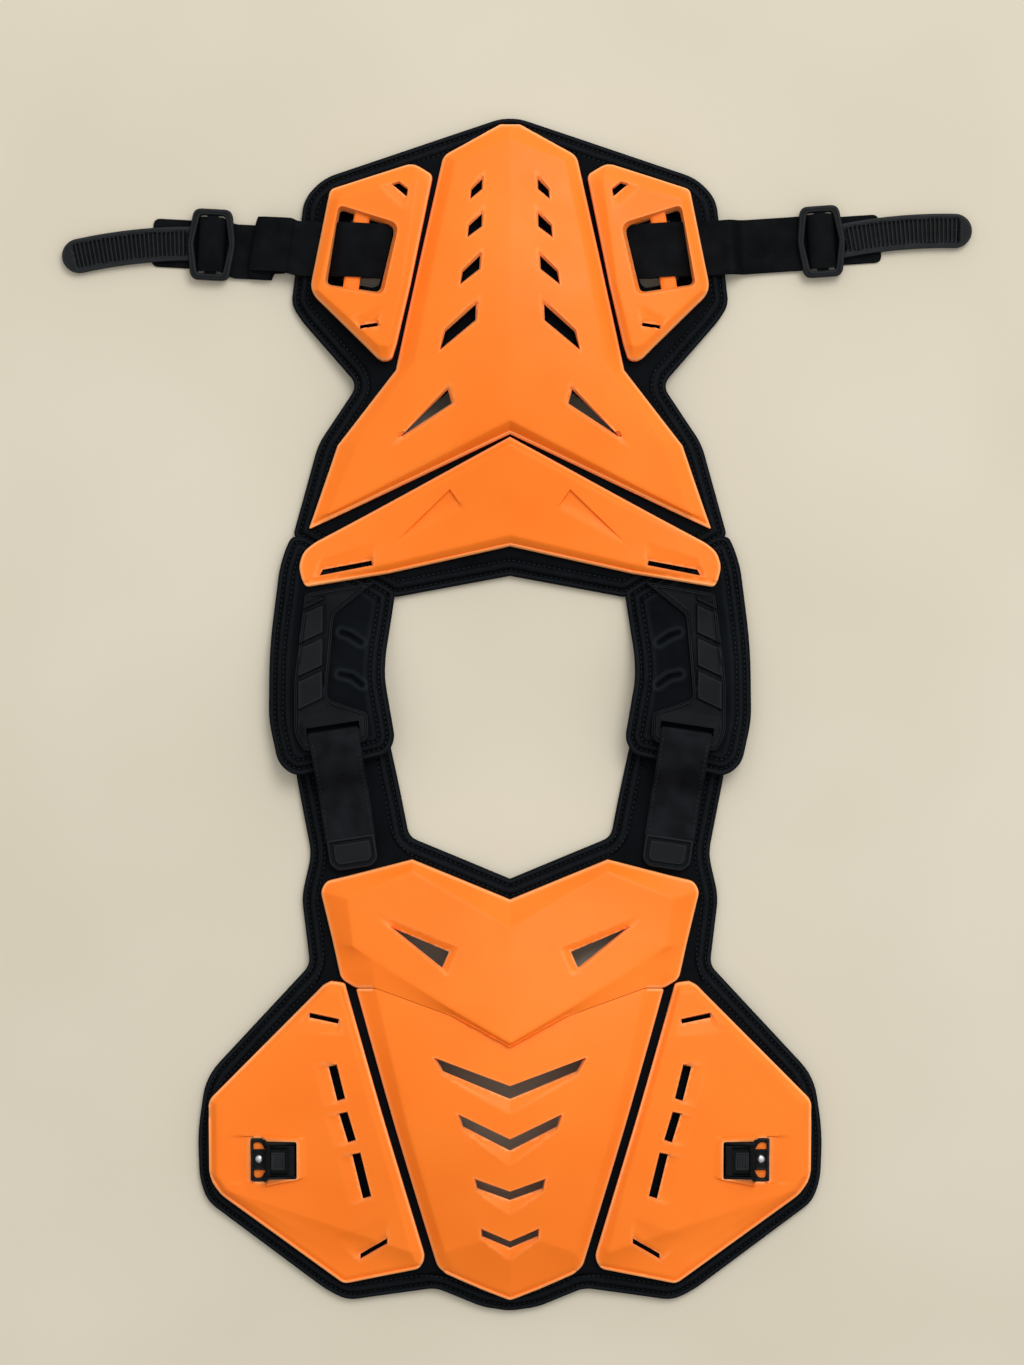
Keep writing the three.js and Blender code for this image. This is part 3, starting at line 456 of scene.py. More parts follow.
class Skin:
    """Height of a moulded plate over its seat, softened along its creases."""

    def __init__(self, rows: Sequence[Table], crown: float, softness: float, mirrored: bool) -> None:
        """Spreads rows of heights over a fine grid.

        Args:
            rows: Rows across the plate, each of (across, along, height as a share of the crown).
            crown: Height of the plate over its seat.
            softness: Radius of its creases.
            mirrored: Whether the rows give the right half of a plate that is alike on both sides.
        """
        self.pixel = 0.7
        self.mirrored = mirrored
        grid = np.array([[row[:3] for row in line] for line in rows], float)
        grid *= (FORM.half_width, FORM.half_length, crown)
        margin = 6.0
        low = grid[..., :2].reshape(-1, 2).min(axis=0) - margin
        high = grid[..., :2].reshape(-1, 2).max(axis=0) + margin
        if mirrored:
            low[0] = -high[0]
        self.low = low
        columns, lines = (np.ceil((high - low) / self.pixel).astype(int) + 1)
        x, y = np.meshgrid(low[0] + np.arange(columns) * self.pixel, low[1] + np.arange(lines) * self.pixel)
        points = np.column_stack([x.ravel(), y.ravel()])
        if mirrored:
            points[:, 0] = np.abs(points[:, 0])
        height = self.spread(points, grid).reshape(lines, columns)
        reach = math.ceil(3 * softness / self.pixel)
        weights = np.exp(-0.5 * (np.arange(-reach, reach + 1) * self.pixel / softness) ** 2)
        weights /= weights.sum()
        padded = np.pad(height, reach, mode="edge")
        padded = sum(w * padded[i : i + lines, :] for i, w in enumerate(weights))
        self.height = sum(w * padded[:, i : i + columns] for i, w in enumerate(weights))

    @staticmethod
    def spread(points: np.ndarray, grid: np.ndarray) -> np.ndarray:
        """Height at points, from the cells of a grid of corners.

        Args:
            points: Rows of (x, y).
            grid: Rows of corners, each (x, y, height).

        Returns:
            One height for each point.
        """
        height = np.zeros(len(points))
        worst = np.full(len(points), np.inf)
        reach, farthest_miss, missed_penalty = 0.3, 1.0, 50.0
        for r in range(grid.shape[0] - 1):
            for c in range(grid.shape[1] - 1):
                a, b, d, e = grid[r, c], grid[r, c + 1], grid[r + 1, c], grid[r + 1, c + 1]
                s = np.full(len(points), 0.5)
                t = s.copy()
                for _ in range(7):
                    here = ((1 - s) * (1 - t))[:, None] * a[:2] + (s * (1 - t))[:, None] * b[:2]
                    here += ((1 - s) * t)[:, None] * d[:2] + (s * t)[:, None] * e[:2]
                    off = here - points
                    ds = (1 - t)[:, None] * (b - a)[:2] + t[:, None] * (e - d)[:2]
                    dt = (1 - s)[:, None] * (d - a)[:2] + s[:, None] * (e - b)[:2]
                    scale = ds[:, 0] * dt[:, 1] - ds[:, 1] * dt[:, 0]
                    scale = np.where(np.abs(scale) < 1e-6, 1e-6, scale)
                    s = np.clip(s - (off[:, 0] * dt[:, 1] - off[:, 1] * dt[:, 0]) / scale, -2.0, 3.0)
                    t = np.clip(t - (ds[:, 0] * off[:, 1] - ds[:, 1] * off[:, 0]) / scale, -2.0, 3.0)
                past = np.maximum.reduce([-s, s - 1, -t, t - 1, np.zeros(len(points))])
                here = ((1 - s) * (1 - t))[:, None] * a[:2] + (s * (1 - t))[:, None] * b[:2]
                here += ((1 - s) * t)[:, None] * d[:2] + (s * t)[:, None] * e[:2]
                missed = np.linalg.norm(here - points, axis=1) > farthest_miss
                past = np.where(missed, missed_penalty + past, past)
                s, t = np.clip(s, -reach, 1 + reach), np.clip(t, -reach, 1 + reach)
                value = (1 - s) * (1 - t) * a[2] + s * (1 - t) * b[2] + (1 - s) * t * d[2] + s * t * e[2]
                better = past < worst
                height = np.where(better, value, height)
                worst = np.where(better, past, worst)
        return height

    def at(self, points: np.ndarray) -> np.ndarray:
        """Height at points, in millimetres over the seat."""
        place = (points - self.low) / self.pixel
        lines, columns = self.height.shape
        x = np.clip(place[:, 0], 0, columns - 1.001)
        y = np.clip(place[:, 1], 0, lines - 1.001)
        i, j = x.astype(int), y.astype(int)
        u, v = x - i, y - j
        low = (1 - u) * self.height[j, i] + u * self.height[j, i + 1]
        high = (1 - u) * self.height[j + 1, i] + u * self.height[j + 1, i + 1]
        return (1 - v) * low + v * high


class Finish:
    """Finish of a surface, made of nodes."""

    name = "finish"

    def __init__(self) -> None:
        """Starts a material with a plain principled shader."""
        self.material = bpy.data.materials.new(self.name)
        self.material.use_nodes = True
        self.nodes = self.material.node_tree.nodes
        self.links = self.material.node_tree.links
        self.shader = self.nodes["Principled BSDF"]
        self.dress()

    def dress(self) -> None:
        """Sets the shader's sockets."""

    def node(self, kind: str, **inputs: object) -> bpy.types.Node:
        """Adds a node.

        Args:
            kind: Its type, without the leading ShaderNode.
            inputs: Values or sockets by input name, with _ for each space.

        Returns:
            The new node.
        """
        made = self.nodes.new(f"ShaderNode{kind}")
        for key, value in inputs.items():
            self.feed(made.inputs[key.replace("_", " ")], value)
        return made

    def feed(self, socket: bpy.types.NodeSocket, value: object) -> None:
        """Sets a socket to a value, or links it to another socket."""
        if isinstance(value, bpy.types.NodeSocket):
            self.links.new(value, socket)
        else:
            socket.default_value = value

    def set(self, **inputs: object) -> None:
        """Sets the shader's inputs by name, with _ for each space."""
        for key, value in inputs.items():
            self.feed(self.shader.inputs[key.replace("_", " ")], value)

    def place(self) -> bpy.types.NodeSocket:
        """Place on the piece, in metres."""
        return self.node("TexCoord").outputs["Object"]

    def along(self) -> bpy.types.NodeSocket:
        """Place along and across a strap, in metres."""
        return self.node("TexCoord").outputs["UV"]

    def noise(self, place: bpy.types.NodeSocket, grain: float, detail: float = 3.0) -> bpy.types.NodeSocket:
        """Noise whose grain is a size in millimetres."""
        return self.node("TexNoise", Vector=place, Scale=1.0 / (grain * MM), Detail=detail).outputs["Fac"]

    def math(self, operation: str, *values: object) -> bpy.types.NodeSocket:
        """Arithmetic on sockets and numbers."""
        made = self.nodes.new("ShaderNodeMath")
        made.operation = operation
        for socket, value in zip(made.inputs, values):
            self.feed(socket, value)
        return made.outputs[0]

    def ramp(
        self, value: bpy.types.NodeSocket, low: float, high: float, start: float, end: float
    ) -> bpy.types.NodeSocket:
        """Maps a range of a value onto another range, held at its ends."""
        made = self.nodes.new("ShaderNodeMapRange")
        for socket, number in zip(made.inputs, (value, low, high, start, end)):
            self.feed(socket, number)
        return made.outputs[0]

    def patches(
        self, place: bpy.types.NodeSocket, grain: float, detail: float, start: float = 0.0, end: float = 1.0
    ) -> bpy.types.NodeSocket:
        """Soft patches of a size in millimetres, between two values."""
        return self.ramp(self.noise(place, grain, detail), 0.3, 0.7, start, end)

    def mixed(self, share: object, first: object, second: object) -> bpy.types.NodeSocket:
        """Mixes two colours."""
        made = self.nodes.new("ShaderNodeMix")
        made.data_type = "RGBA"
        self.feed(made.inputs[0], share)
        self.feed(made.inputs[6], first)
        self.feed(made.inputs[7], second)
        return made.outputs[2]

    def painted_light_and_wear(self) -> bpy.types.NodeSocket:
        """Share of painted highlight and painted shade, and of wear, that is kept with the mesh."""
        made = self.nodes.new("ShaderNodeAttribute")
        made.attribute_name = "painted_light_and_wear"
        return made.outputs["Fac"]

    def bumped(self, height: bpy.types.NodeSocket, depth: float, strength: float = 1.0) -> None:
        """Lifts the surface by a height between 0 and 1, of a depth in millimetres."""
        made = self.node("Bump", Height=height, Strength=strength, Distance=depth * MM)
        self.set(Normal=made.outputs["Normal"])


class MouldedPlate(Finish):
    """Satin orange plastic with a fine grain, faint flow marks, scuffs and a painted highlight that pales its
    edges.
    """

    name = "orange_plastic"

    def dress(self) -> None:
        """Sets the shader's sockets."""
        place = self.place()
        cloud = self.ramp(self.noise(place, 70.0, 2.0), 0.35, 0.65, 0.0, 1.0)
        colour = self.mixed(cloud, (0.97, 0.196, 0.011, 1), (1.0, 0.218, 0.016, 1))
        speck = self.ramp(self.noise(place, 5.0, 2.0), 0.79, 0.83, 0.0, 0.55)
        colour = self.mixed(speck, colour, (0.45, 0.07, 0.01, 1))
        # Painted highlight: paler orange where the mesh's share is high, along rims, vents and ledges.
        colour = self.mixed(self.math("MULTIPLY", self.painted_light_and_wear(), 0.75), colour, (1.0, 0.48, 0.19, 1))
        rough = self.patches(place, 22.0, 4.0, 0.4, 0.52)
        self.set(Base_Color=colour, Roughness=rough, Specular_IOR_Level=0.22)
        grain = self.noise(place, 0.45, 2.0)
        scuff = self.math("MULTIPLY", self.noise(place, 7.0, 5.0), 0.6)
        self.bumped(self.math("ADD", grain, scuff), 0.08, 0.5)


class KnitCover(Finish):
    """Near-black knitted cover of the pads, with a fine weave, a dull sheen, a painted highlight on its
    crests and painted shade in its seams.
    """

    name = "padding"

    def dress(self) -> None:
        """Sets the shader's sockets."""
        place = self.place()
        patch = self.patches(place, 25.0, 3.0)
        colour = self.mixed(patch, (0.0024, 0.0032, 0.0044, 1), (0.004, 0.0053, 0.0072, 1))
        # Painted highlight on the crests, then painted shade in the seams, from the mesh's share.
        colour = self.mixed(self.ramp(self.painted_light_and_wear(), 0.0, 1.0, 0.0, 1.0), colour, (0.016, 0.0195, 0.024, 1))
        colour = self.mixed(self.ramp(self.painted_light_and_wear(), 0.0, -1.0, 0.0, 0.9), colour, (0.0009, 0.001, 0.0012, 1))
        self.set(Base_Color=colour, Roughness=0.85, Specular_IOR_Level=0.04)
        self.set(Sheen_Weight=0.004, Sheen_Roughness=0.4)
        cells = self.node("TexVoronoi", Vector=place, Scale=1.0 / (0.7 * MM)).outputs["Distance"]
        crumple = self.math("MULTIPLY", self.noise(place, 4.0, 4.0), 1.6)
        self.bumped(self.math("ADD", cells, crumple), 0.25, 0.6)


class Webbing(Finish):
    """Near-black elastic webbing: a fine weave along the strap, lint, a dull sheen and painted shade where it
    slopes.
    """

    name = "webbing"
    tone = 1.15
    shades = ((0.0028, 0.0032, 0.0039), (0.0056, 0.0064, 0.0078))

    def dress(self) -> None:
        """Sets the shader's sockets."""
        along, place = self.along(), self.place()
        patch = self.patches(place, 14.0, 3.0)
        low, high = ((*(self.tone * share for share in shares), 1) for shares in self.shades)
        colour = self.mixed(patch, low, high)
        lint = self.ramp(self.noise(place, 1.1, 1.0), 0.8, 0.84, 0.0, 0.5)
        colour = self.mixed(lint, colour, (0.05, 0.052, 0.055, 1))
        # Painted shade: near-black where the face tilts away from straight up.
        normal = self.node("NewGeometry").outputs["True Normal"]
        facing = self.node("SeparateXYZ", Vector=normal).outputs["Z"]
        colour = self.mixed(self.ramp(facing, 0.35, 0.97, 1.0, 0.0), colour, (0.0009, 0.001, 0.0013, 1))
        self.set(Base_Color=colour, Roughness=0.88, Specular_IOR_Level=0.04, Sheen_Weight=0.004)
        split = self.node("SeparateXYZ", Vector=along)
        warp = self.math("SINE", self.math("MULTIPLY", split.outputs["Y"], 2 * math.pi / (1.1 * MM)))
        weft = self.math("SINE", self.math("MULTIPLY", split.outputs["X"], 2 * math.pi / (0.8 * MM)))
        weave = self.math("MULTIPLY", warp, weft)
        fluff = self.math("MULTIPLY", self.noise(place, 1.6, 4.0), 1.5)
        self.bumped(self.math("ADD", weave, fluff), 0.16, 0.6)


class ShoulderWebbing(Webbing):
    """The shoulder straps' webbing, a shade paler."""

    name = "shoulder_webbing"
    tone = 2.1


class Rubber(Finish):
    """Dark matt rubber with a bloom of dust and a painted highlight that makes its edges slightly paler."""

    name = "rubber"

    def dress(self) -> None:
        """Sets the shader's sockets."""
        place = self.place()
        bloom = self.patches(place, 18.0, 4.0)
        colour = self.mixed(bloom, (0.0042, 0.0052, 0.0064, 1), (0.0068, 0.0084, 0.0104, 1))
        # Painted highlight along the edges, from the mesh's share.
        colour = self.mixed(self.painted_light_and_wear(), colour, (0.03, 0.034, 0.039, 1))
        rough = self.patches(place, 9.0, 3.0, 0.55, 0.7)
        self.set(Base_Color=colour, Roughness=rough, Specular_IOR_Level=0.06)
        self.bumped(self.noise(place, 0.7, 3.0), 0.06, 0.4)


class BlackPlastic(Finish):
    """Satin black plastic with a faint grain, a painted highlight along its edges and painted shade in its
    slots and hollows.
    """

    name = "black_plastic"

    def dress(self) -> None:
        """Sets the shader's sockets."""
        place = self.place()
        rub = self.ramp(self.noise(place, 10.0, 4.0), 0.35, 0.7, 0.0, 1.0)
        colour = self.mixed(rub, (0.0034, 0.0042, 0.0052, 1), (0.0062, 0.0075, 0.009, 1))
        # Painted highlight where the mesh's share is above zero, painted shade where it is below.
        colour = self.mixed(self.ramp(self.painted_light_and_wear(), 0.0, 1.0, 0.0, 1.0), colour, (0.03, 0.034, 0.038, 1))
        colour = self.mixed(self.ramp(self.painted_light_and_wear(), 0.0, -1.0, 0.0, 1.0), colour, (0.001, 0.0012, 0.0014, 1))
        rough = self.patches(place, 6.0, 3.0, 0.42, 0.58)
        self.set(Base_Color=colour, Roughness=rough, Specular_IOR_Level=0.08)
        self.bumped(self.noise(place, 0.5, 2.0), 0.05, 0.4)


class Steel(Finish):
    """Brushed steel of the rivets and pins."""

    name = "steel"

    def dress(self) -> None:
        """Sets the shader's sockets."""
        place = self.place()
        tone = self.mixed(self.noise(place, 1.2, 3.0), (0.42, 0.43, 0.45, 1), (0.75, 0.76, 0.78, 1))
        self.set(Base_Color=tone, Metallic=1.0, Roughness=0.34)
        self.bumped(self.noise(place, 0.3, 2.0), 0.03, 0.4)


class Thread(Finish):
    """Sewing thread, a little paler than the cover."""

    name = "thread"

    def dress(self) -> None:
        """Sets the shader's sockets."""
        patch = self.noise(self.place(), 3.0, 2.0)
        tone = self.mixed(patch, (0.004, 0.005, 0.006, 1), (0.016, 0.019, 0.022, 1))
        self.set(Base_Color=tone, Roughness=0.8, Specular_IOR_Level=0.25)


class Stage:
    """Plain pale floor, soft studio light and the camera straight above."""

    picture_height: float = 955.5
    centre: tuple[float, float] = (1.4, 22.75)
    focus_height: float = 20.0
    camera_height: float = 2600.0
    bright_side: tuple[float, float, float] = (0.3, 0.62, 0.72)
    dark_level: float = 0.16
    bright_level: float = 1.12
    floor_reach: float = 4000.0
    key_place: tuple[float, float, float] = (1.0, 1.95, 3.0)
    key_size: float = 2.0
    key_power: float = 54.0

    def build(self) -> None:
        """Sets up the floor, the lights and the camera."""
        self.floor()
        self.lights()
        self.camera()

    def floor(self) -> None:
        """Lays the floor."""
        reach = self.floor_reach
        points = np.array([[-reach, -reach, 0], [reach, -reach, 0], [reach, reach, 0], [-reach, reach, 0]])
        floor = mesh_object("floor", points, [(0, 1, 2, 3)])
        floor.data.materials.append(StageFloor().material)
        floor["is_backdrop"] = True

    def lights(self) -> None:
        """Hangs a wide key light at the upper right, in a surround that is brighter on one side."""
        world = bpy.data.worlds.new("studio")
        world.use_nodes = True
        nodes, links = world.node_tree.nodes, world.node_tree.links
        backdrop = nodes["Background"]
        backdrop.inputs["Color"].default_value = (1.0, 0.985, 0.96, 1)
        aim = nodes.new("ShaderNodeVectorMath")
        aim.operation = "DOT_PRODUCT"
        aim.inputs[1].default_value = Vector(self.bright_side).normalized()
        links.new(nodes.new("ShaderNodeTexCoord").outputs["Generated"], aim.inputs[0])
        level = nodes.new("ShaderNodeMapRange")
        for socket, number in zip(level.inputs[1:], (-0.5, 1.0, self.dark_level, self.bright_level)):
            socket.default_value = number
        links.new(aim.outputs["Value"], level.inputs[0])
        links.new(level.outputs[0], backdrop.inputs["Strength"])
        bpy.context.scene.world = world
        lamp = bpy.data.lights.new("key", "AREA")
        lamp.shape = "DISK"
        lamp.size = self.key_size
        lamp.energy = self.key_power
        lamp.color = (1.0, 0.985, 0.955)
        holder = bpy.data.objects.new("key", lamp)
        holder.location = self.key_place
        holder.rotation_euler = (-Vector(self.key_place)).to_track_quat("-Z", "Y").to_euler()
        bpy.context.scene.collection.objects.link(holder)

    def camera(self) -> None:
        """Looks straight down at the guard."""
        lens = bpy.data.cameras.new("camera")
        lens.sensor_fit = "VERTICAL"
        lens.sensor_height = 24.0
        lens.lens = lens.sensor_height * (self.camera_height - self.focus_height) / self.picture_height
        lens.clip_end = 20.0
        holder = bpy.data.objects.new("camera", lens)
        holder.location = (self.centre[0] * MM, self.centre[1] * MM, self.camera_height * MM)
        bpy.context.scene.collection.objects.link(holder)
        bpy.context.scene.camera = holder
        bpy.context.scene.view_settings.view_transform = "Standard"


class StageFloor(Finish):
    """Matt pale floor."""

    name = "floor"

    def dress(self) -> None:
        """Sets the shader's sockets."""
        place = self.place()
        cloud = self.ramp(self.noise(place, 260.0, 2.0), 0.35, 0.65, 0.0, 1.0)
        colour = self.mixed(cloud, (0.632, 0.584, 0.475, 1), (0.668, 0.624, 0.515, 1))
        self.set(Base_Color=colour, Roughness=0.9, Specular_IOR_Level=0.1)
        self.bumped(self.noise(place, 1.5, 3.0), 0.1, 0.3)


def bent(points: Table, rounding: float, steps: int = 6) -> np.ndarray:
    """Open line through points, with its corners rounded.

    Args:
        points: Rows of (way, height).
        rounding: Length of edge that a corner may take.
        steps: Pieces of each rounding.

    Returns:
        Rows of (way, height).
    """
    line = np.array(points, float)
    run = [line[0]]
    for before, here, after in zip(line, line[1:], line[2:]):
        start, end = before - here, after - here
        long_start, long_end = np.linalg.norm(start), np.linalg.norm(end)
        trim = min(rounding, 0.48 * long_start, 0.48 * long_end)
        first, last = here + start / long_start * trim, here + end / long_end * trim
        for t in np.linspace(0.0, 1.0, steps + 1):
            run.append((1 - t) ** 2 * first + 2 * t * (1 - t) * here + t * t * last)
    run.append(line[-1])
    return np.array(run)


@dataclass(frozen=True)
class Course:
    """Where a strap runs: its start, its heading and its side."""

    start: tuple[float, float]
    heading: float
    side: Side | None = None

    def on(self, points: np.ndarray) -> np.ndarray:
        """Places of points given as (along, across), on the right of the guard."""
        turn, start = math.radians(self.heading), np.array(self.start)
        ahead = np.array([math.cos(turn), math.sin(turn)])
        return start + points[:, :1] * ahead + points[:, 1:2] * np.array([-ahead[1], ahead[0]])

    def off(self, places: np.ndarray) -> np.ndarray:
        """Turns places on the right of the guard back into (along, across)."""
        turn, gap = math.radians(self.heading), places - np.array(self.start)
        ahead = np.array([math.cos(turn), math.sin(turn)])
        return np.column_stack([gap @ ahead, gap @ np.array([-ahead[1], ahead[0]])])


def ribbon(
    name: str,
    path: np.ndarray,
    width: float,
    thickness: float,
    course: Course,
    sway: Heights | None = None,
    cells: int = 14,
) -> bpy.types.Object:
    """Makes a strap of even thickness that follows a path.

    Args:
        name: The piece's name.
        path: Rows of (way, height) along the middle of the strap.
        width: Width of the strap.
        thickness: Thickness of the webbing.
        course: Where the strap runs.
        sway: Moves points given as (way, across, height), for skew, folds and waves.
        cells: Pieces across the strap.

    Returns:
        The new object.
    """
    run = resampled(path, 1.6, closed=False)
    ahead = np.gradient(run, axis=0)
    ahead /= np.linalg.norm(ahead, axis=1)[:, None]
    normal = np.column_stack([-ahead[:, 1], ahead[:, 0]])
    length = np.concatenate([[0.0], np.cumsum(np.linalg.norm(np.diff(run, axis=0), axis=1))])
    half, round_edge = width / 2, thickness / 2
    spread = np.linspace(-half, half, cells + 1)
    edge = np.clip((np.abs(spread) - half + round_edge) / round_edge, 0.0, 1.0)
    thick = round_edge * np.sqrt(1.0 - 0.8 * edge**2)
    section = [(across, lift) for across, lift in zip(spread, thick)]
    section += [(across, -lift) for across, lift in zip(spread[::-1], thick[::-1])]
    places, marks = [], []
    for i, centre in enumerate(run):
        for across, lift in section:
            point = centre + normal[i] * lift
            places.append((point[0], across, point[1]))
            marks.append((length[i] * MM, across * MM))
    places = np.array(places)
    if sway:
        places = sway(places)
    flat = course.on(places[:, :2])
    if course.side is Side.LEFT:
        flat = flat * course.side.mirror
    points = np.column_stack([flat, places[:, 2]])
    count, rows = len(section), len(run)
    faces = []
    for i in range(rows - 1):
        for j in range(count):
            a, b = i * count + j, i * count + (j + 1) % count
            faces.append((a, b, b + count, a + count))
    faces.append(tuple(range(count - 1, -1, -1)))
    faces.append(tuple(range((rows - 1) * count, rows * count)))
    if course.side is not Side.LEFT:
        faces = [face[::-1] for face in faces]
    piece = mesh_object(name, points, faces, 70.0)
    layer = piece.data.uv_layers.new(name="weave")
    corners = np.empty(len(piece.data.loops), int)
    piece.data.loops.foreach_get("vertex_index", corners)
    layer.data.foreach_set("uv", np.array(marks)[corners].ravel())
    return piece


def dressed(
    piece: bpy.types.Object, finish: Finish, slot: str, body: str, *nodes: str
) -> bpy.types.Object:
    """Gives a piece its finish, the body that it rides on and the nodes that it stands for.

    Args:
        piece: The piece.
        finish: Its finish.
        slot: Name of the piece's material slot; not used.
        body: The body that carries it.
        nodes: Nodes that it replaces.

    Returns:
        The piece.
    """
    piece.data.materials.append(finish.material)
    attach(piece, body)
    if nodes:
        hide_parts(*nodes)
    LOG.info("%s: %d faces", piece.name, len(piece.data.polygons))
    return piece


def joined(name: str, pieces: Sequence[bpy.types.Object]) -> bpy.types.Object:
    """Joins meshes into one piece.

    Args:
        name: The new piece's name.
        pieces: The meshes to join.

    Returns:
        The joined object.
    """
    for piece in bpy.context.selected_objects:
        piece.select_set(False)
    for piece in pieces:
        piece.select_set(True)
    bpy.context.view_layer.objects.active = pieces[0]
    bpy.ops.object.join()
    pieces[0].name = pieces[0].data.name = name
    return pieces[0]


def stitches(
    name: str, lines: Sequence[np.ndarray], pitch: float = 3.6, length: float = 2.5
) -> bpy.types.Object:
    """Makes rows of sewn stitches.

    Args:
        name: The piece's name.
        lines: Lines of (x, y, z) places that the rows follow.
        pitch: From one stitch to the next.
        length: Length of a stitch.

    Returns:
        The new object.
    """
    radius, sides = 0.36, 5
    rings = ((0.0, 0.35, -0.25), (0.25, 1.0, 0.05), (0.75, 1.0, 0.05), (1.0, 0.35, -0.25))
    points, faces = [], []
    for line in lines:
        steps = np.linalg.norm(np.diff(line, axis=0), axis=1)
        way = np.concatenate([[0.0], np.cumsum(steps)])
        for start in np.arange(0.5 * pitch, way[-1] - length, pitch):
            ends = [
                np.array([np.interp(at, way, line[:, k]) for k in range(3)])
                for at in (start, start + length)
            ]
            ahead = ends[1] - ends[0]
            ahead /= np.linalg.norm(ahead)
            across = np.cross(ahead, (0.0, 0.0, 1.0))
            across /= np.linalg.norm(across)
            up = np.cross(across, ahead)
            first = len(points)
            for share, girth, sink in rings:
                centre = ends[0] + share * (ends[1] - ends[0]) + up * sink
                for k in range(sides):
                    angle = 2 * math.pi * k / sides
                    out = math.cos(angle) * across + math.sin(angle) * up
                    points.append(centre + radius * girth * out)
            for ring in range(len(rings) - 1):
                for k in range(sides):
                    a, b = first + ring * sides + k, first + ring * sides + (k + 1) % sides
                    faces.append((a, b, b + sides, a + sides))
            faces.append(tuple(first + k for k in reversed(range(sides))))
            faces.append(tuple(first + 3 * sides + k for k in range(sides)))
    return mesh_object(name, np.array(points), faces, 70.0)


@dataclass(frozen=True)
class Vent:
    """Opening in a plate, with the recess that leads down to it."""

    hole: Table
    recess: Table
    depth: float

    def mirrored(self) -> "Vent":
        """The same vent on the other side."""
        return Vent(flipped(self.hole), flipped(self.recess), self.depth)


@dataclass(frozen=True)
class Dent:
    """Shallow recess without an opening, which fades out towards one of its edges."""

    outline: Table
    fading: Table
    depth: float
    reach: float

    def mirrored(self) -> "Dent":
        """The same dent on the other side."""
        return Dent(flipped(self.outline), flipped(self.fading), self.depth, self.reach)


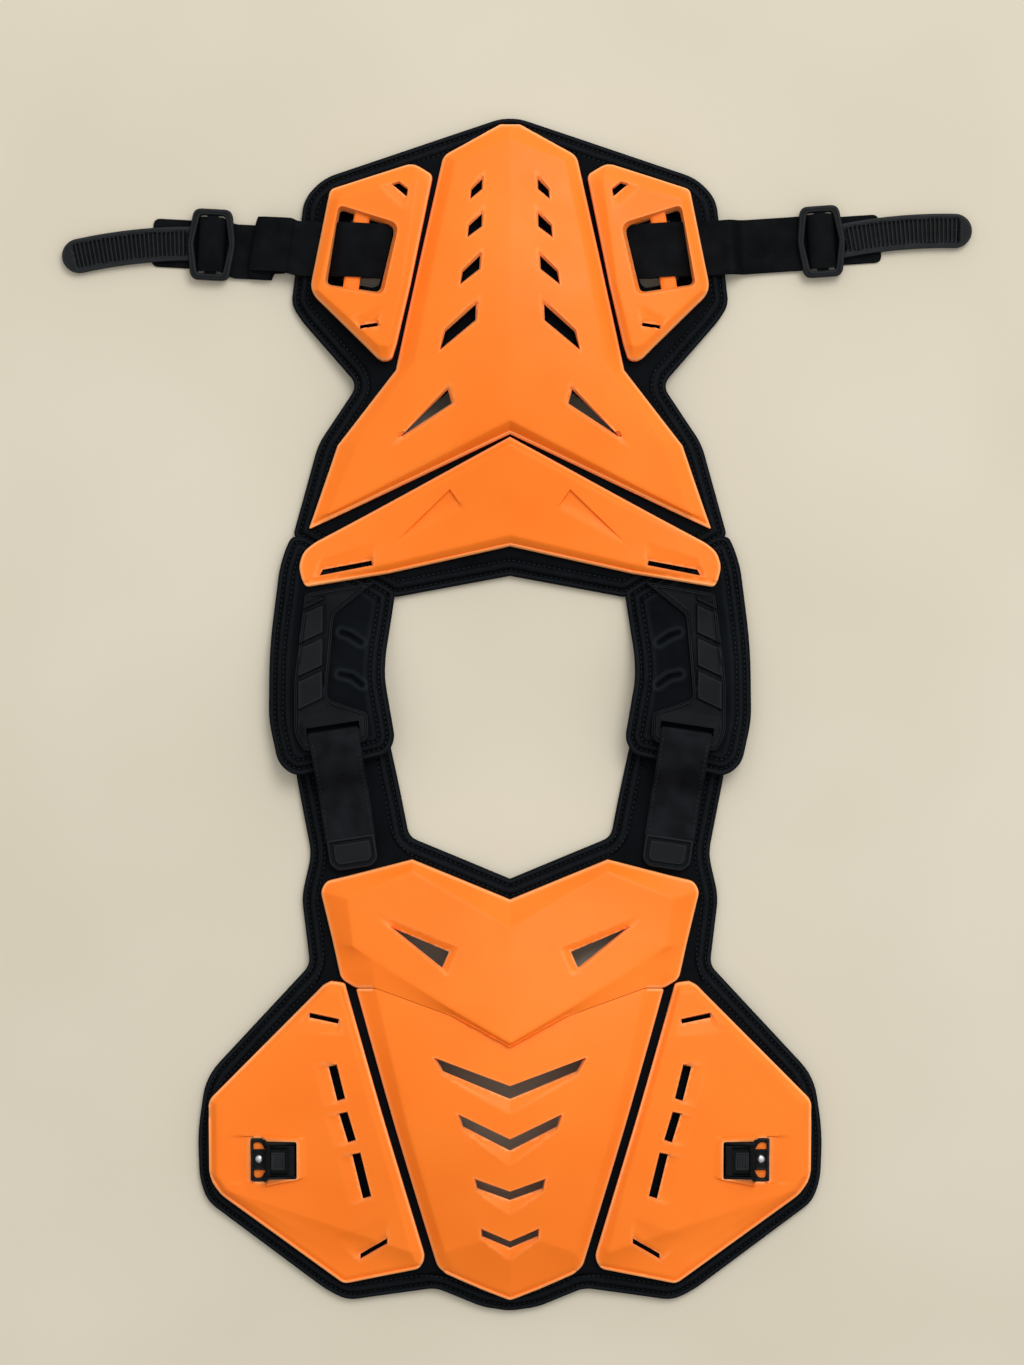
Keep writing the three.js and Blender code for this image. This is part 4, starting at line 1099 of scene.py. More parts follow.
@dataclass
class Buckle:
    """Ratchet buckle in a side plate's pocket: a base with cheeks and an ear, and a lever on a pin."""

    side: Side
    place: tuple[float, float] = (0.7523, -0.7417)
    crown: float = 9.0
    pocket_depth: float = 3.0
    long: float = 16.0
    cheek: float = 12.85
    cheek_wall: float = 1.8
    ear: float = 15.0
    ear_start: float = 4.5
    base_top: float = 1.8
    pin: float = 3.5
    pin_height: float = 7.45
    knuckle: float = 2.5
    lever_half: float = 10.55
    lever_end: float = -14.8
    lever_low: float = 6.2
    lever_top: float = 8.7
    rivet_place: tuple[float, float] = (9.9, 0.6)

    def __post_init__(self) -> None:
        """Works out where the buckle sits."""
        (x, y, _), = FORM.place([self.place])
        self.centre = np.array([x, y])
        self.floor = float(FORM.seat(self.centre[None])[0]) + self.crown - self.pocket_depth
        self.pocket = [
            (-16.4, 13.2, 1.6), (5.2, 13.2, 0), (8.4, 15.4, 0), (16.4, 15.4, 1.6),
            (16.4, -15.4, 1.6), (6.4, -15.4, 0), (2.6, -13.2, 0), (-16.4, -13.2, 1.6),
        ]

    def on(self, table: Table) -> np.ndarray:
        """Places of rows that start with (x, y) in the buckle's own frame."""
        rows = np.array(table, float)
        rows[:, :2] += self.centre
        return rows

    def shares(self, table: Table) -> list[tuple[float, ...]]:
        """The same places as shares of the guard's half width and half length."""
        return [(x / FORM.half_width, y / FORM.half_length, *rest) for x, y, *rest in self.on(table).tolist()]

    def local(self, points: np.ndarray) -> tuple[np.ndarray, np.ndarray]:
        """Places in the buckle's own frame."""
        return points[:, 0] - self.centre[0], points[:, 1] - self.centre[1]

    def base(self) -> bpy.types.Object:
        """Makes the base: a floor, two cheeks and an ear with two holes."""
        inner = self.cheek - self.cheek_wall
        table = self.on([
            (-self.long, self.cheek, 1.2), (self.ear_start - 0.4, self.cheek, 0),
            (self.ear_start + 2.2, self.ear, 0.6), (self.long, self.ear, 1.4),
            (self.long, -self.ear, 1.4), (self.ear_start + 1.0, -self.ear, 0.6),
            (self.ear_start - 1.6, -self.cheek, 0), (-self.long, -self.cheek, 1.2),
        ])
        holes = [self.on(rounded(np.array(hole))) for hole in (
            [(6.2, 7.4, 0.3), (14.2, 7.4, 0.8), (14.2, 12.4, 3.2), (9.0, 12.4, 2.5)],
            [(5.4, -7.0, 0.3), (8.6, -12.6, 3.0), (13.6, -12.6, 2.4), (13.8, -7.0, 0.8)],
        )]
        end = 6.0
        lines = [
            self.on([(-self.long + 0.4, sign * (inner + offset)), (end, sign * (inner + offset))])
            for sign in (-1, 1) for offset in (-0.12, 0.0, 0.5, self.cheek_wall - 0.4)
        ]
        lip = np.array([(14.2, -14, 1), (15.2, -14, 1), (15.2, 14, 1), (14.2, 14, 1)])
        rings = [*outlines(table, (0.15, 0.45)), self.on(rounded(lip))]
        plan = Plan(rounded(table), holes, rings, lines, step=0.9)

        def top(points: np.ndarray) -> np.ndarray:
            """Upper face."""
            x, y = self.local(points)
            eased = np.maximum(ease(plan.from_edge(points), 0.45), ease(plan.from_holes(points), 0.5))
            height = self.base_top - 0.4 * eased
            height += 0.7 * smooth(x, 13.6, 14.2) + 0.5 * bump(np.abs(y), 6.6, 0.4) * (x > 6.5)
            wall = (np.abs(y) > inner - 0.06) & (x < end + 0.05)
            crest = self.pin_height + 1.9
            rise = np.interp(x, (-self.long, 0.0, end), (4.6, crest, crest))
            rise = rise - 0.5 * eased - 0.5 * smooth(np.abs(x - 3.0), 1.5, 3.2) * (x > 3.0)
            return self.floor + np.where(wall, rise, height)

        def painted_light_and_wear(points: np.ndarray) -> np.ndarray:
            """Painted highlight along the edges and the cheeks' tops, painted shade between the cheeks;
            darker at the cheek end, a touch paler at the ear.
            """
            x, y = self.local(points)
            share = 0.5 * bump(plan.from_edge(points), 0.4, 0.3)
            share = share + 0.3 * bump(plan.from_holes(points), 0.4, 0.3)
            share += 0.4 * bump(np.abs(y), inner + 0.3, 0.3) * (x < end)
            between = (x < end) & (np.abs(y) < inner - 0.1)
            return share + 0.05 * (x > end + 1.0) - 0.7 * between - 0.3 * (x < end)

        low, name = level(self.floor + FORM.seat_gap), f"buckle_base_{self.side.word}_body"
        return relief(name, plan, top, low, self.side, painted_light_and_wear, 35.0)

    def lever(self) -> bpy.types.Object:
        """Makes the lever: a rail at its free end, two slots and a ribbed thumb pad."""
        half, end = self.lever_half, self.lever_end
        back = self.pin + 2.2
        table = self.on([(end, half, 1.0), (back, half, 0.8), (back, -half, 0.8), (end, -half, 1.0)])
        pad = np.array([(-8.4, 6.4, 1.0), (1.5, 6.4, 1.0), (1.5, -6.4, 1.0), (-8.4, -6.4, 1.0)])
        panel = inset(pad, 1.5)
        near, far, slot_start, slot_end = 8.0, 9.7, -10.0, 1.6
        slots = [
            np.array([
                (slot_start, sign * near, 0.6), (slot_end, sign * near, 0.6),
                (slot_end, sign * far, 0.6), (slot_start, sign * far, 0.6),
            ])
            for sign in (-1, 1)
        ]
        rings = outlines(table, (0.15, 0.5))
        rings += [self.on(ring) for ring in outlines(pad, (-0.4, 0.0, 0.4))]
        rings += [self.on(ring) for ring in outlines(panel, (-0.3, 0.0, 0.35))]
        rings += [self.on(ring) for slot in slots for ring in outlines(slot, (0.0, 0.35))]
        ribs, rib_reach = (-5.9, -4.1, -2.3, -0.5), 4.3
        lines = [
            self.on([(rib + offset, -rib_reach), (rib + offset, rib_reach)])
            for rib in ribs for offset in (-0.45, -0.2, 0.2, 0.45)
        ]
        plan = Plan(rounded(table), [], rings, lines, step=0.8)
        pad_ring, panel_ring = self.on(rounded(pad)), self.on(rounded(panel))
        slot_rings = [self.on(rounded(slot)) for slot in slots]

        def within(points: np.ndarray, ring: np.ndarray, ease: float) -> np.ndarray:
            """Share of the way into an outline, eased over a short width."""
            return smooth(np.where(inside(points, ring), distance_to(points, ring), 0.0), 0.0, ease)

        def top(points: np.ndarray) -> np.ndarray:
            """Upper face."""
            x, y = self.local(points)
            height = self.lever_top - 0.5 * ease(plan.from_edge(points), 0.5)
            height -= 0.7 * smooth(x, -11.4, -10.6) * (1.0 - within(points, pad_ring, 0.4))
            height += 0.9 * within(points, pad_ring, 0.4) - 0.7 * within(points, panel_ring, 0.35)
            rib = sum(bump(x, place, 0.4) for place in ribs) * (np.abs(y) < 4.2)
            height += 0.7 * rib * within(points, panel_ring, 0.35)
            height -= 1.7 * sum(within(points, ring, 0.35) for ring in slot_rings)
            knuckle = self.pin_height + np.sqrt(np.maximum(self.knuckle**2 - (x - self.pin) ** 2, 0.0))
            higher = np.maximum(height, knuckle - 0.3)
            return self.floor + np.where(np.abs(x - self.pin) < self.knuckle, higher, height)

        def painted_light_and_wear(points: np.ndarray) -> np.ndarray:
            """Painted highlight along the pad's edges and on its ribs, painted shade in the slots; paler on
            the pad, darker round it.
            """
            x, _ = self.local(points)
            on_pad = within(points, pad_ring, 0.4)
            share = 0.3 * bump(distance_to(points, pad_ring), 0.3, 0.35)
            share = share + 0.2 * bump(distance_to(points, panel_ring), 0.0, 0.3)
            share += 0.35 * sum(bump(x, place, 0.35) for place in ribs) * within(points, panel_ring, 0.35)
            share += 0.3 * on_pad - 0.6 * (1.0 - on_pad) * (x > -10.8)
            return share - sum(within(points, ring, 0.3) for ring in slot_rings)

        low, name = level(self.floor + self.lever_low), f"buckle_lever_{self.side.word}_body"
        return relief(name, plan, top, low, self.side, painted_light_and_wear, 35.0)

    def rivet(self) -> bpy.types.Object:
        """Makes the domed rivet in the ear."""
        low = self.floor + self.base_top
        profile = [(0.0, 2.2), (1.0, 2.1), (2.0, 1.75), (2.7, 1.15), (3.1, 0.5), (3.2, 0.1), (3.2, -0.2)]
        sides = 28
        points, faces = [(0.0, 0.0, profile[0][1])], []
        for radius, height in profile[1:]:
            angles = 2 * math.pi * np.arange(sides) / sides
            points += [(radius * math.cos(angle), radius * math.sin(angle), height) for angle in angles]
        for k in range(sides):
            after = (k + 1) % sides
            faces.append((0, 1 + k, 1 + after))
            for ring in range(len(profile) - 2):
                a, b = 1 + ring * sides + k, 1 + ring * sides + after
                faces.append((a, a + sides, b + sides, b))
        last = 1 + (len(profile) - 2) * sides
        faces.append(tuple(last + k for k in reversed(range(sides))))
        places = np.array(points) + (*(self.centre + self.rivet_place), low)
        places[:, 0] *= self.side.value
        if self.side is Side.LEFT:
            faces = [face[::-1] for face in faces]
        return mesh_object(f"buckle_rivet_{self.side.word}_head", places, faces, 50.0)

    def build(self, finishes: dict[str, Finish]) -> None:
        """Makes and dresses the buckle."""
        word = self.side.word
        dressed(self.base(), finishes["plastic"], "black_plastic", "guard", f"buckle_base_{word}")
        dressed(self.lever(), finishes["plastic"], "black_plastic", f"lever_{word}", f"buckle_lever_{word}")
        dressed(self.rivet(), finishes["steel"], "steel", "guard", f"buckle_rivet_{word}")
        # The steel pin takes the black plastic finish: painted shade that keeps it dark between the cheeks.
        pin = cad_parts[f"buckle_pin_{word}"]
        pin.data.materials.clear()
        pin.data.materials.append(finishes["plastic"].material)


@dataclass
class Plate:
    """Moulded plate: a crowned shell with a rolled rim, which stands on the padding."""

    name: str
    rows: Sequence[Table]
    crown: float
    vents: Sequence[Vent] = ()
    dents: Sequence[Dent] = ()
    ledges: Sequence[Table] = ()
    pocket: Table = ()
    pocket_floor: float = 0.0
    flush: Table = ()
    whole: bool = True
    softness: float = 0.5
    wall: float = 2.5
    roll: float = 1.3
    lip: float = 0.25
    step: float = 1.9

    def rim(self) -> np.ndarray:
        """Corners of the rim."""
        last = len(self.rows) - 1
        right = [row[-1] for row in self.rows[1:last]]
        first_row, last_row = [*self.rows[0]], [*self.rows[last]]
        if self.whole:
            ring = whole([*first_row, *right, *reversed(last_row)])
        else:
            left = [row[0] for row in self.rows[1:last]]
            ring = [*first_row, *right, *reversed(last_row), *reversed(left)]
        return FORM.place([(row[0], row[1], row[3] if len(row) > 3 else 0.0) for row in ring])

    def creases(self) -> list[np.ndarray]:
        """Lines along the skin's creases, each with one close to either side."""
        grid = np.array([[row[:2] for row in line] for line in self.rows], float)
        grid *= (FORM.half_width, FORM.half_length)
        lines = [grid[r] + (0.0, off) for r in range(1, len(grid) - 1) for off in (-0.5, 0.0, 0.5)]
        lines += [grid[:, c] + (off, 0.0) for c in range(1, grid.shape[1] - 1) for off in (-0.5, 0.0, 0.5)]
        if self.whole:
            lines += [grid[:, 0] + (0.5, 0.0)]
            lines += [line * (-1.0, 1.0) for line in lines] + [grid[:, 0]]
        return lines

    def build(self, name: str, side: Side | None = None) -> bpy.types.Object:
        """Makes the plate.

        Args:
            name: The piece's name.
            side: The side that it lies on, or None for a plate on the centre line.

        Returns:
            The new object.
        """
        skin = Skin(self.rows, self.crown, self.softness, self.whole)
        rim = self.rim()
        edge = rounded(rim)
        both, dents = [*self.vents], [*self.dents]
        if self.whole:
            both += [vent.mirrored() for vent in self.vents if min(row[0] for row in vent.hole) > 0]
            dents += [dent.mirrored() for dent in self.dents]
        holes = [rounded(FORM.place(vent.hole)) for vent in both]
        recesses = [rounded(FORM.place(vent.recess)) for vent in both]
        hollows = [rounded(FORM.place(dent.outline)) for dent in dents]
        rings = outlines(rim, [share * self.roll for share in (0.15, 0.45, 1.0, 1.8)])
        rings += [*recesses, *hollows]
        ledges = [FORM.place(ledge)[:, :2] for ledge in self.ledges]
        well = rounded(FORM.place(self.pocket)) if self.pocket else None
        if self.pocket:
            rings += outlines(FORM.place(self.pocket), (-0.9, -0.45, 0.0, 0.12))
        for dent in dents:
            rings += outlines(FORM.place(dent.outline), (0.8,))
        plan = Plan(edge, holes, rings, self.creases(), step=self.step)

        def sunk(points: np.ndarray) -> np.ndarray:
            """Tells which points lie in the pocket."""
            if well is None:
                return np.zeros(len(points), bool)
            return inside(points, well) & (distance_to(points, well) > 0.06)

        def rimmed(points: np.ndarray) -> np.ndarray:
            """Share of the rim's roll and lip, which stop where another plate meets this one flush."""
            if not self.flush:
                return np.ones(len(points))
            return smooth(distance_to(points, FORM.place(self.flush)[:, :2], closed=False), 1.6, 3.2)

        def lowered(points: np.ndarray) -> np.ndarray:
            """Depth of the recesses and the dents at points."""
            depth = np.zeros(len(points))
            for vent, hole, recess in zip(both, holes, recesses):
                within = inside(points, recess) | (distance_to(points, hole) < 1e-3)
                outer = distance_to(points, recess)
                inner = distance_to(points, hole)
                share = np.where(within, outer / np.maximum(outer + inner, 1e-3), 0.0)
                depth += vent.depth * share
            for dent, hollow in zip(dents, hollows):
                within = inside(points, hollow)
                fading = distance_to(points, FORM.place(dent.fading)[:, :2], closed=False)
                share = smooth(distance_to(points, hollow), 0.0, 0.8) * smooth(fading, 0.0, dent.reach)
                depth += dent.depth * np.where(within, share, 0.0)
            return depth

        def top(points: np.ndarray) -> np.ndarray:
            """Upper face, with its rolled rim."""
            gap = plan.from_edge(points)
            lip = self.lip * bump(gap, self.roll * 1.1, self.roll * 0.6)
            lip -= self.roll * rolled(gap, self.roll)
            height = FORM.seat(points) + skin.at(points) + lip * rimmed(points)
            height -= 0.35 * ease(plan.from_holes(points), 0.5) + lowered(points)
            for ledge in ledges:
                height -= 1.2 * bump(distance_to(points, ledge, closed=False), 2.5, 0.8)
            if well is not None:
                height -= 0.3 * ease(distance_to(points, well), 0.9)
            return np.where(sunk(points), self.pocket_floor, height)

        def bottom(points: np.ndarray) -> np.ndarray:
            """Lower face, down to the seat along the rim."""
            gap = plan.from_edge(points)
            under = FORM.seat(points) + np.maximum(0.0, skin.at(points) - lowered(points) - self.wall)
            if well is not None:
                near = inside(points, well) | (distance_to(points, well) < 2.0)
                under = np.where(near, np.minimum(under, self.pocket_floor - self.wall), under)
            return np.where(gap < self.wall, FORM.seat(points), under)

        def painted_light_and_wear(points: np.ndarray) -> np.ndarray:
            """Painted highlight along the rim, the vents, the recess edges, the ledges and the pocket."""
            share = bump(plan.from_edge(points), 0.7, 0.8) * rimmed(points)
            share = np.maximum(share, 0.8 * bump(plan.from_holes(points), 0.0, 0.5))
            near = 1.0 - smooth(plan.from_holes(points), 2.0, 12.0)
            for ring in recesses:
                share = np.maximum(share, 0.25 * near * bump(distance_to(points, ring), 0.0, 0.45))
            for ledge in ledges:
                share = np.maximum(share, bump(distance_to(points, ledge, closed=False), 0.8, 0.8))
            if well is not None:
                beside = bump(distance_to(points, well), 0.2, 0.7)
                share = np.maximum(share, np.where(sunk(points), 0.0, beside))
            return share

        return relief(name, plan, top, bottom, side, painted_light_and_wear, sharp=50.0)


@dataclass
class Plates:
    """The orange plates of both halves."""

    chest_crown: float = 16.0
    belly_crown: float = 12.0
    wing_crown: float = 9.0
    back_crown: float = 12.0
    neck_crown: float = 9.0
    frame_crown: float = 14.0
    rim: float = 4.0
    frame_rim: float = 9.0
    slit: float = 0.35

    def back(self) -> Plate:
        """Long plate of the back half."""
        low = self.rim / self.back_crown
        rows = [
            [(0, 0.467, low), (0.577, 0.326, low), (0.643, 0.31, low, 2)],
            [(0, 0.488, 1), (0.575, 0.336, 0.75), (0.627, 0.333, low)],
            [(0, 0.571, 1), (0.482, 0.457, 0.8), (0.55, 0.45, low)],
            [(0, 0.655, 1), (0.302, 0.586, 0.8), (0.363, 0.574, low)],
            [(0, 0.79, 1), (0.241, 0.757, 0.8), (0.287, 0.757, low)],
            [(0, 0.96, 0.9), (0.175, 0.924, 0.8), (0.213, 0.934, low, 5)],
            [(0, 0.987, low), (0.014, 0.987, low), (0.03, 0.987, low, 5)],
        ]
        vents = [
            Vent([(0.0884, 0.8926), (0.0893, 0.8755), (0.1256, 0.8592), (0.1225, 0.8744)],
                 [(0.082, 0.9052), (0.0855, 0.8738), (0.1268, 0.8565), (0.1265, 0.876)], 1.9),
            Vent([(0.0889, 0.8336), (0.0902, 0.8116), (0.1343, 0.7943), (0.1303, 0.8128)],
                 [(0.0797, 0.8478), (0.086, 0.8098), (0.1358, 0.7915), (0.1342, 0.8145)], 1.9),
            Vent([(0.0949, 0.7626), (0.0971, 0.7398), (0.157, 0.7152), (0.1497, 0.7355)],
                 [(0.0849, 0.7743), (0.093, 0.7378), (0.1588, 0.7122), (0.154, 0.7375)], 2.2),
            Vent([(0.1078, 0.6809), (0.1098, 0.6541), (0.221, 0.6063), (0.2049, 0.6359)],
                 [(0.0935, 0.6959), (0.1045, 0.652), (0.2235, 0.6028), (0.2095, 0.6385)], 2.4),
            Vent([(0.197, 0.54), (0.185, 0.517), (0.35, 0.462)],
                 [(0.19, 0.549), (0.174, 0.517), (0.38, 0.445)], 2.6),
        ]
        ledge = [(-0.643, 0.31), (0, 0.467), (0.643, 0.31)]
        return Plate("back_plate", rows, self.back_crown, vents, ledges=[ledge], softness=0.55)

    def neck(self) -> Plate:
        """Plate of the back half at the neck opening."""
        low = self.rim / self.neck_crown
        rows = [
            [(0, 0.2817, low), (0.391, 0.236, low), (0.652, 0.2135, low, 11)],
            [(0, 0.2995, 1), (0.386, 0.253, 0.9), (0.664, 0.226, low)],
            [(0, 0.369, 1), (0.345, 0.297, 0.9), (0.6745, 0.247, low, 9)],
            [(0, 0.449, 1), (0.327, 0.3585, 0.9), (0.661, 0.2715, low, 7)],
            [(0, 0.4626, low), (0.318, 0.3733, low), (0.628, 0.2865, low, 8)],
        ]
        vents = [
            Vent([(0.442, 0.258), (0.439, 0.25), (0.608, 0.233), (0.598, 0.243)],
                 [(0.428, 0.29), (0.436, 0.247), (0.625, 0.2305), (0.604, 0.262)], 2.4),
        ]
        dents = [
            Dent([(0.191, 0.376), (0.146, 0.342), (0.397, 0.273)],
                 [(0.146, 0.342), (0.397, 0.273)], 2.0, 9.0),
        ]
        ledge = [(-0.655, 0.215), (-0.391, 0.236), (0, 0.2817), (0.391, 0.236), (0.655, 0.215)]
        return Plate("neck_plate", rows, self.neck_crown, vents, dents, [ledge])

    def chest(self) -> Plate:
        """Upper plate of the chest half."""
        low = self.rim / self.chest_crown
        rows = [
            [(0, -0.5476, 0.7, 1), (0.1736, -0.4993, 0.66, 1), (0.4264, -0.4533, 0.61, 1),
             (0.49, -0.455, low, 3)],
            [(0, -0.542, 1), (0.2, -0.4815, 0.95), (0.44, -0.4042, 0.85), (0.538, -0.44, low, 4)],
            [(0, -0.44, 1), (0.262, -0.357, 0.95), (0.4973, -0.3857, 0.85), (0.564, -0.381, low)],
            [(0, -0.3533, 1), (0.309, -0.2593, 0.9), (0.518, -0.305, 0.8), (0.6045, -0.295, low, 5)],
            [(0, -0.3083, low), (0.312, -0.2417, low), (0.523, -0.27, low), (0.587, -0.278, low, 5)],
        ]
        vents = [
            Vent([(0.374, -0.354), (0.193, -0.3926), (0.215, -0.419)],
                 [(0.455, -0.322), (0.159, -0.3855), (0.197, -0.4305)], 3.4),
        ]
        seam = [(0.4264, -0.4533), (0.1736, -0.4993), (0, -0.5476), (-0.1736, -0.4993), (-0.4264, -0.4533)]
        return Plate("chest_plate", rows, self.chest_crown, vents, flush=seam, softness=0.55)

    def belly(self) -> Plate:
        """Lower plate of the chest half, with a row of chevron vents."""
        low = self.rim / self.belly_crown
        gap = self.slit / FORM.half_length
        top = [(0, -0.5476), (0.1736, -0.4993), (0.4264, -0.4533), (0.49, -0.455)]
        heights = [0.92, 0.85, 0.8, low]
        rows = [
            [(0, -0.9786, low, 3), (0.09, -0.96, low), (0.164, -0.943, low), (0.205, -0.933, low, 6)],
            [(0, -0.886, 1), (0.1, -0.874, 0.95), (0.206, -0.895, 0.8), (0.232, -0.92, low, 6)],
            [(0, -0.714, 1), (0.159, -0.698, 0.95), (0.322, -0.686, 0.85), (0.3636, -0.686, low)],
            [(across, along - gap, height, 2) for (across, along), height in zip(top, heights)],
        ]
        vents = []
        for end, outer, centre, width, taper, ramp in (
            (0.234, -0.5683, -0.6133, 0.0212, 0.9, 0.0235),
            (0.159, -0.6617, -0.7017, 0.019, 0.93, 0.0235),
            (0.108, -0.77, -0.79, 0.0145, 0.96, 0.0235),
            (0.089, -0.855, -0.875, 0.0115, 1.0, 0.0215),
        ):
            hole = whole([(0, centre), (end, outer), (end * taper, outer - width), (0, centre - width)])
            recess = whole([
                (0, centre + 0.0015), (end * 1.05, outer + 0.0035),
                (end * taper * 1.01, outer - width - 0.004), (0, centre - width - ramp),
            ])
            vents.append(Vent(hole, recess, 3.4))
        ledge = [(-0.205, -0.933), (-0.09, -0.96), (0, -0.9786), (0.09, -0.96), (0.205, -0.933)]
        seam = [*((-across, along) for across, along in top[2::-1]), *top[1:3]]
        return Plate("belly_plate", rows, self.belly_crown, vents, ledges=[ledge], flush=seam, softness=0.55)

    def wing(self) -> Plate:
        """Side plate of the chest half."""
        low = self.rim / self.wing_crown
        rows = [
            [(0.27, -0.905, low, 6), (0.288, -0.925, low, 4), (0.41, -0.938, low), (0.53, -0.951, low, 4)],
            [(0.282, -0.883, low), (0.314, -0.895, 1), (0.9, -0.793, 1), (0.926, -0.801, low, 8)],
            [(0.336, -0.786, low), (0.366, -0.781, 1), (0.934, -0.769, 1), (0.959, -0.7726, low, 6)],
            [(0.41, -0.655, low), (0.439, -0.65, 1), (0.936, -0.649, 1), (0.961, -0.644, low, 4)],
            [(0.514, -0.468, low), (0.539, -0.4595, 1), (0.586, -0.4583, 1), (0.618, -0.463, low)],
            [(0.525, -0.4476, low, 3), (0.541, -0.4457, low), (0.57, -0.444, low), (0.594, -0.45, low, 3)],
        ]
        vents = [
            Vent([(0.55, -0.5815), (0.576, -0.5845), (0.548, -0.6415), (0.523, -0.637)],
                 [(0.5485, -0.5795), (0.622, -0.579), (0.588, -0.6505), (0.5205, -0.6385)], 1.7),
            Vent([(0.516, -0.6595), (0.542, -0.6625), (0.514, -0.7105), (0.489, -0.706)],
                 [(0.5145, -0.6575), (0.587, -0.6665), (0.556, -0.7165), (0.4865, -0.7075)], 1.7),
            Vent([(0.475, -0.7275), (0.501, -0.7305), (0.467, -0.805), (0.441, -0.8005)],
                 [(0.4735, -0.7255), (0.548, -0.734), (0.512, -0.8155), (0.4385, -0.802)], 1.7),
            Vent([(0.544, -0.506), (0.636, -0.4965), (0.638, -0.504), (0.546, -0.5135)],
                 [(0.5415, -0.5045), (0.6365, -0.4945), (0.695, -0.528), (0.53, -0.53)], 2.0),
            Vent([(0.391, -0.872), (0.477, -0.9), (0.477, -0.909), (0.391, -0.881)],
                 [(0.388, -0.835), (0.389, -0.882), (0.477, -0.9115), (0.568, -0.871)], 2.0),
        ]
        ledge = [(0.288, -0.925), (0.53, -0.951), (0.926, -0.801), (0.959, -0.7726)]
        buckle = Buckle(Side.RIGHT)
        boss = Dent(
            buckle.shares([(-23, 16.3), (9.6, 17.6), (5.6, 13.6), (4.5, -15), (7.1, -19.3), (-24, -12.5)]),
            buckle.shares([(-23, 17), (-24, -13)]), -2.0, 8.0,
        )
        trough = Dent(
            buckle.shares([(14, 16.9), (34, 16.4), (34, -17.2), (13, -16.8)]),
            buckle.shares([(34, 17), (34, -18)]), 1.3, 17.0,
        )
        return Plate(
            "chest_side_plate", rows, self.wing_crown, vents, [boss, trough], [ledge],
            buckle.shares(buckle.pocket), buckle.floor, whole=False, softness=0.6,
        )

    def frame(self) -> Plate:
        """Side plate of the back half, with a window for the side strap."""
        low = self.frame_rim / self.frame_crown
        rows = [
            [(0.374, 0.593, low, 5), (0.388, 0.589, low), (0.404, 0.589, low), (0.42, 0.593, low, 5)],
            [(0.36, 0.616, low), (0.387, 0.612, 1), (0.418, 0.614, 1), (0.459, 0.614, low)],
            [(0.3165, 0.714, low), (0.339, 0.714, 1), (0.609, 0.707, 1), (0.6386, 0.707, low, 8)],
            [(0.252, 0.883, low), (0.295, 0.89, 1), (0.545, 0.86, 1), (0.58, 0.86, low)],
            [(0.2455, 0.9, low, 8), (0.309, 0.921, low, 6), (0.4545, 0.897, low), (0.573, 0.877, low, 8)],
        ]
        vents = [
            Vent([(0.325, 0.875), (0.352, 0.886), (0.373, 0.883), (0.329, 0.863)],
                 [(0.3225, 0.876), (0.351, 0.8885), (0.415, 0.88), (0.328, 0.838)], 2.4),
            Vent([(0.419, 0.652), (0.476, 0.648), (0.476, 0.642), (0.419, 0.646)],
                 [(0.4, 0.685), (0.416, 0.65), (0.476, 0.6405), (0.505, 0.66)], 2.4),
            Vent([(0.366, 0.811, 5), (0.541, 0.844, 4), (0.584, 0.7185, 4), (0.414, 0.7035, 4)],
                 [(0.351, 0.817, 7), (0.545, 0.85, 5), (0.591, 0.714, 5), (0.402, 0.697, 5)], 8.0),
        ]
        return Plate("back_side_plate", rows, self.frame_crown, vents, whole=False, roll=1.8)

    def build(self, finishes: dict[str, Finish]) -> None:
        """Makes and dresses every plate."""
        pieces = [(self.back(), None), (self.neck(), None), (self.chest(), None), (self.belly(), None)]
        pieces += [(maker(), side) for maker in (self.wing, self.frame) for side in Side]
        for plate, side in pieces:
            node = plate.name if side is None else f"{plate.name}_{side.word}"
            piece = plate.build(f"{node}_shell", side)
            dressed(piece, finishes["plate"], "orange_plastic", "guard", node)


def sewn(corners: np.ndarray, offsets: Sequence[float], top: Heights) -> list[np.ndarray]:
    """Lines of (x, y, z) places that lie just over a pad, along its seams.

    Args:
        corners: Corners of the pad.
        offsets: How far in from its edge each seam runs.
        top: Upper face of the pad.

    Returns:
        One closed line for each seam.
    """
    lines = []
    for ring in outlines(corners, offsets):
        run = resampled(ring, 2.0)
        run = np.vstack([run, run[:1]])
        lines.append(np.column_stack([run, top(run) + 0.25]))
    return lines


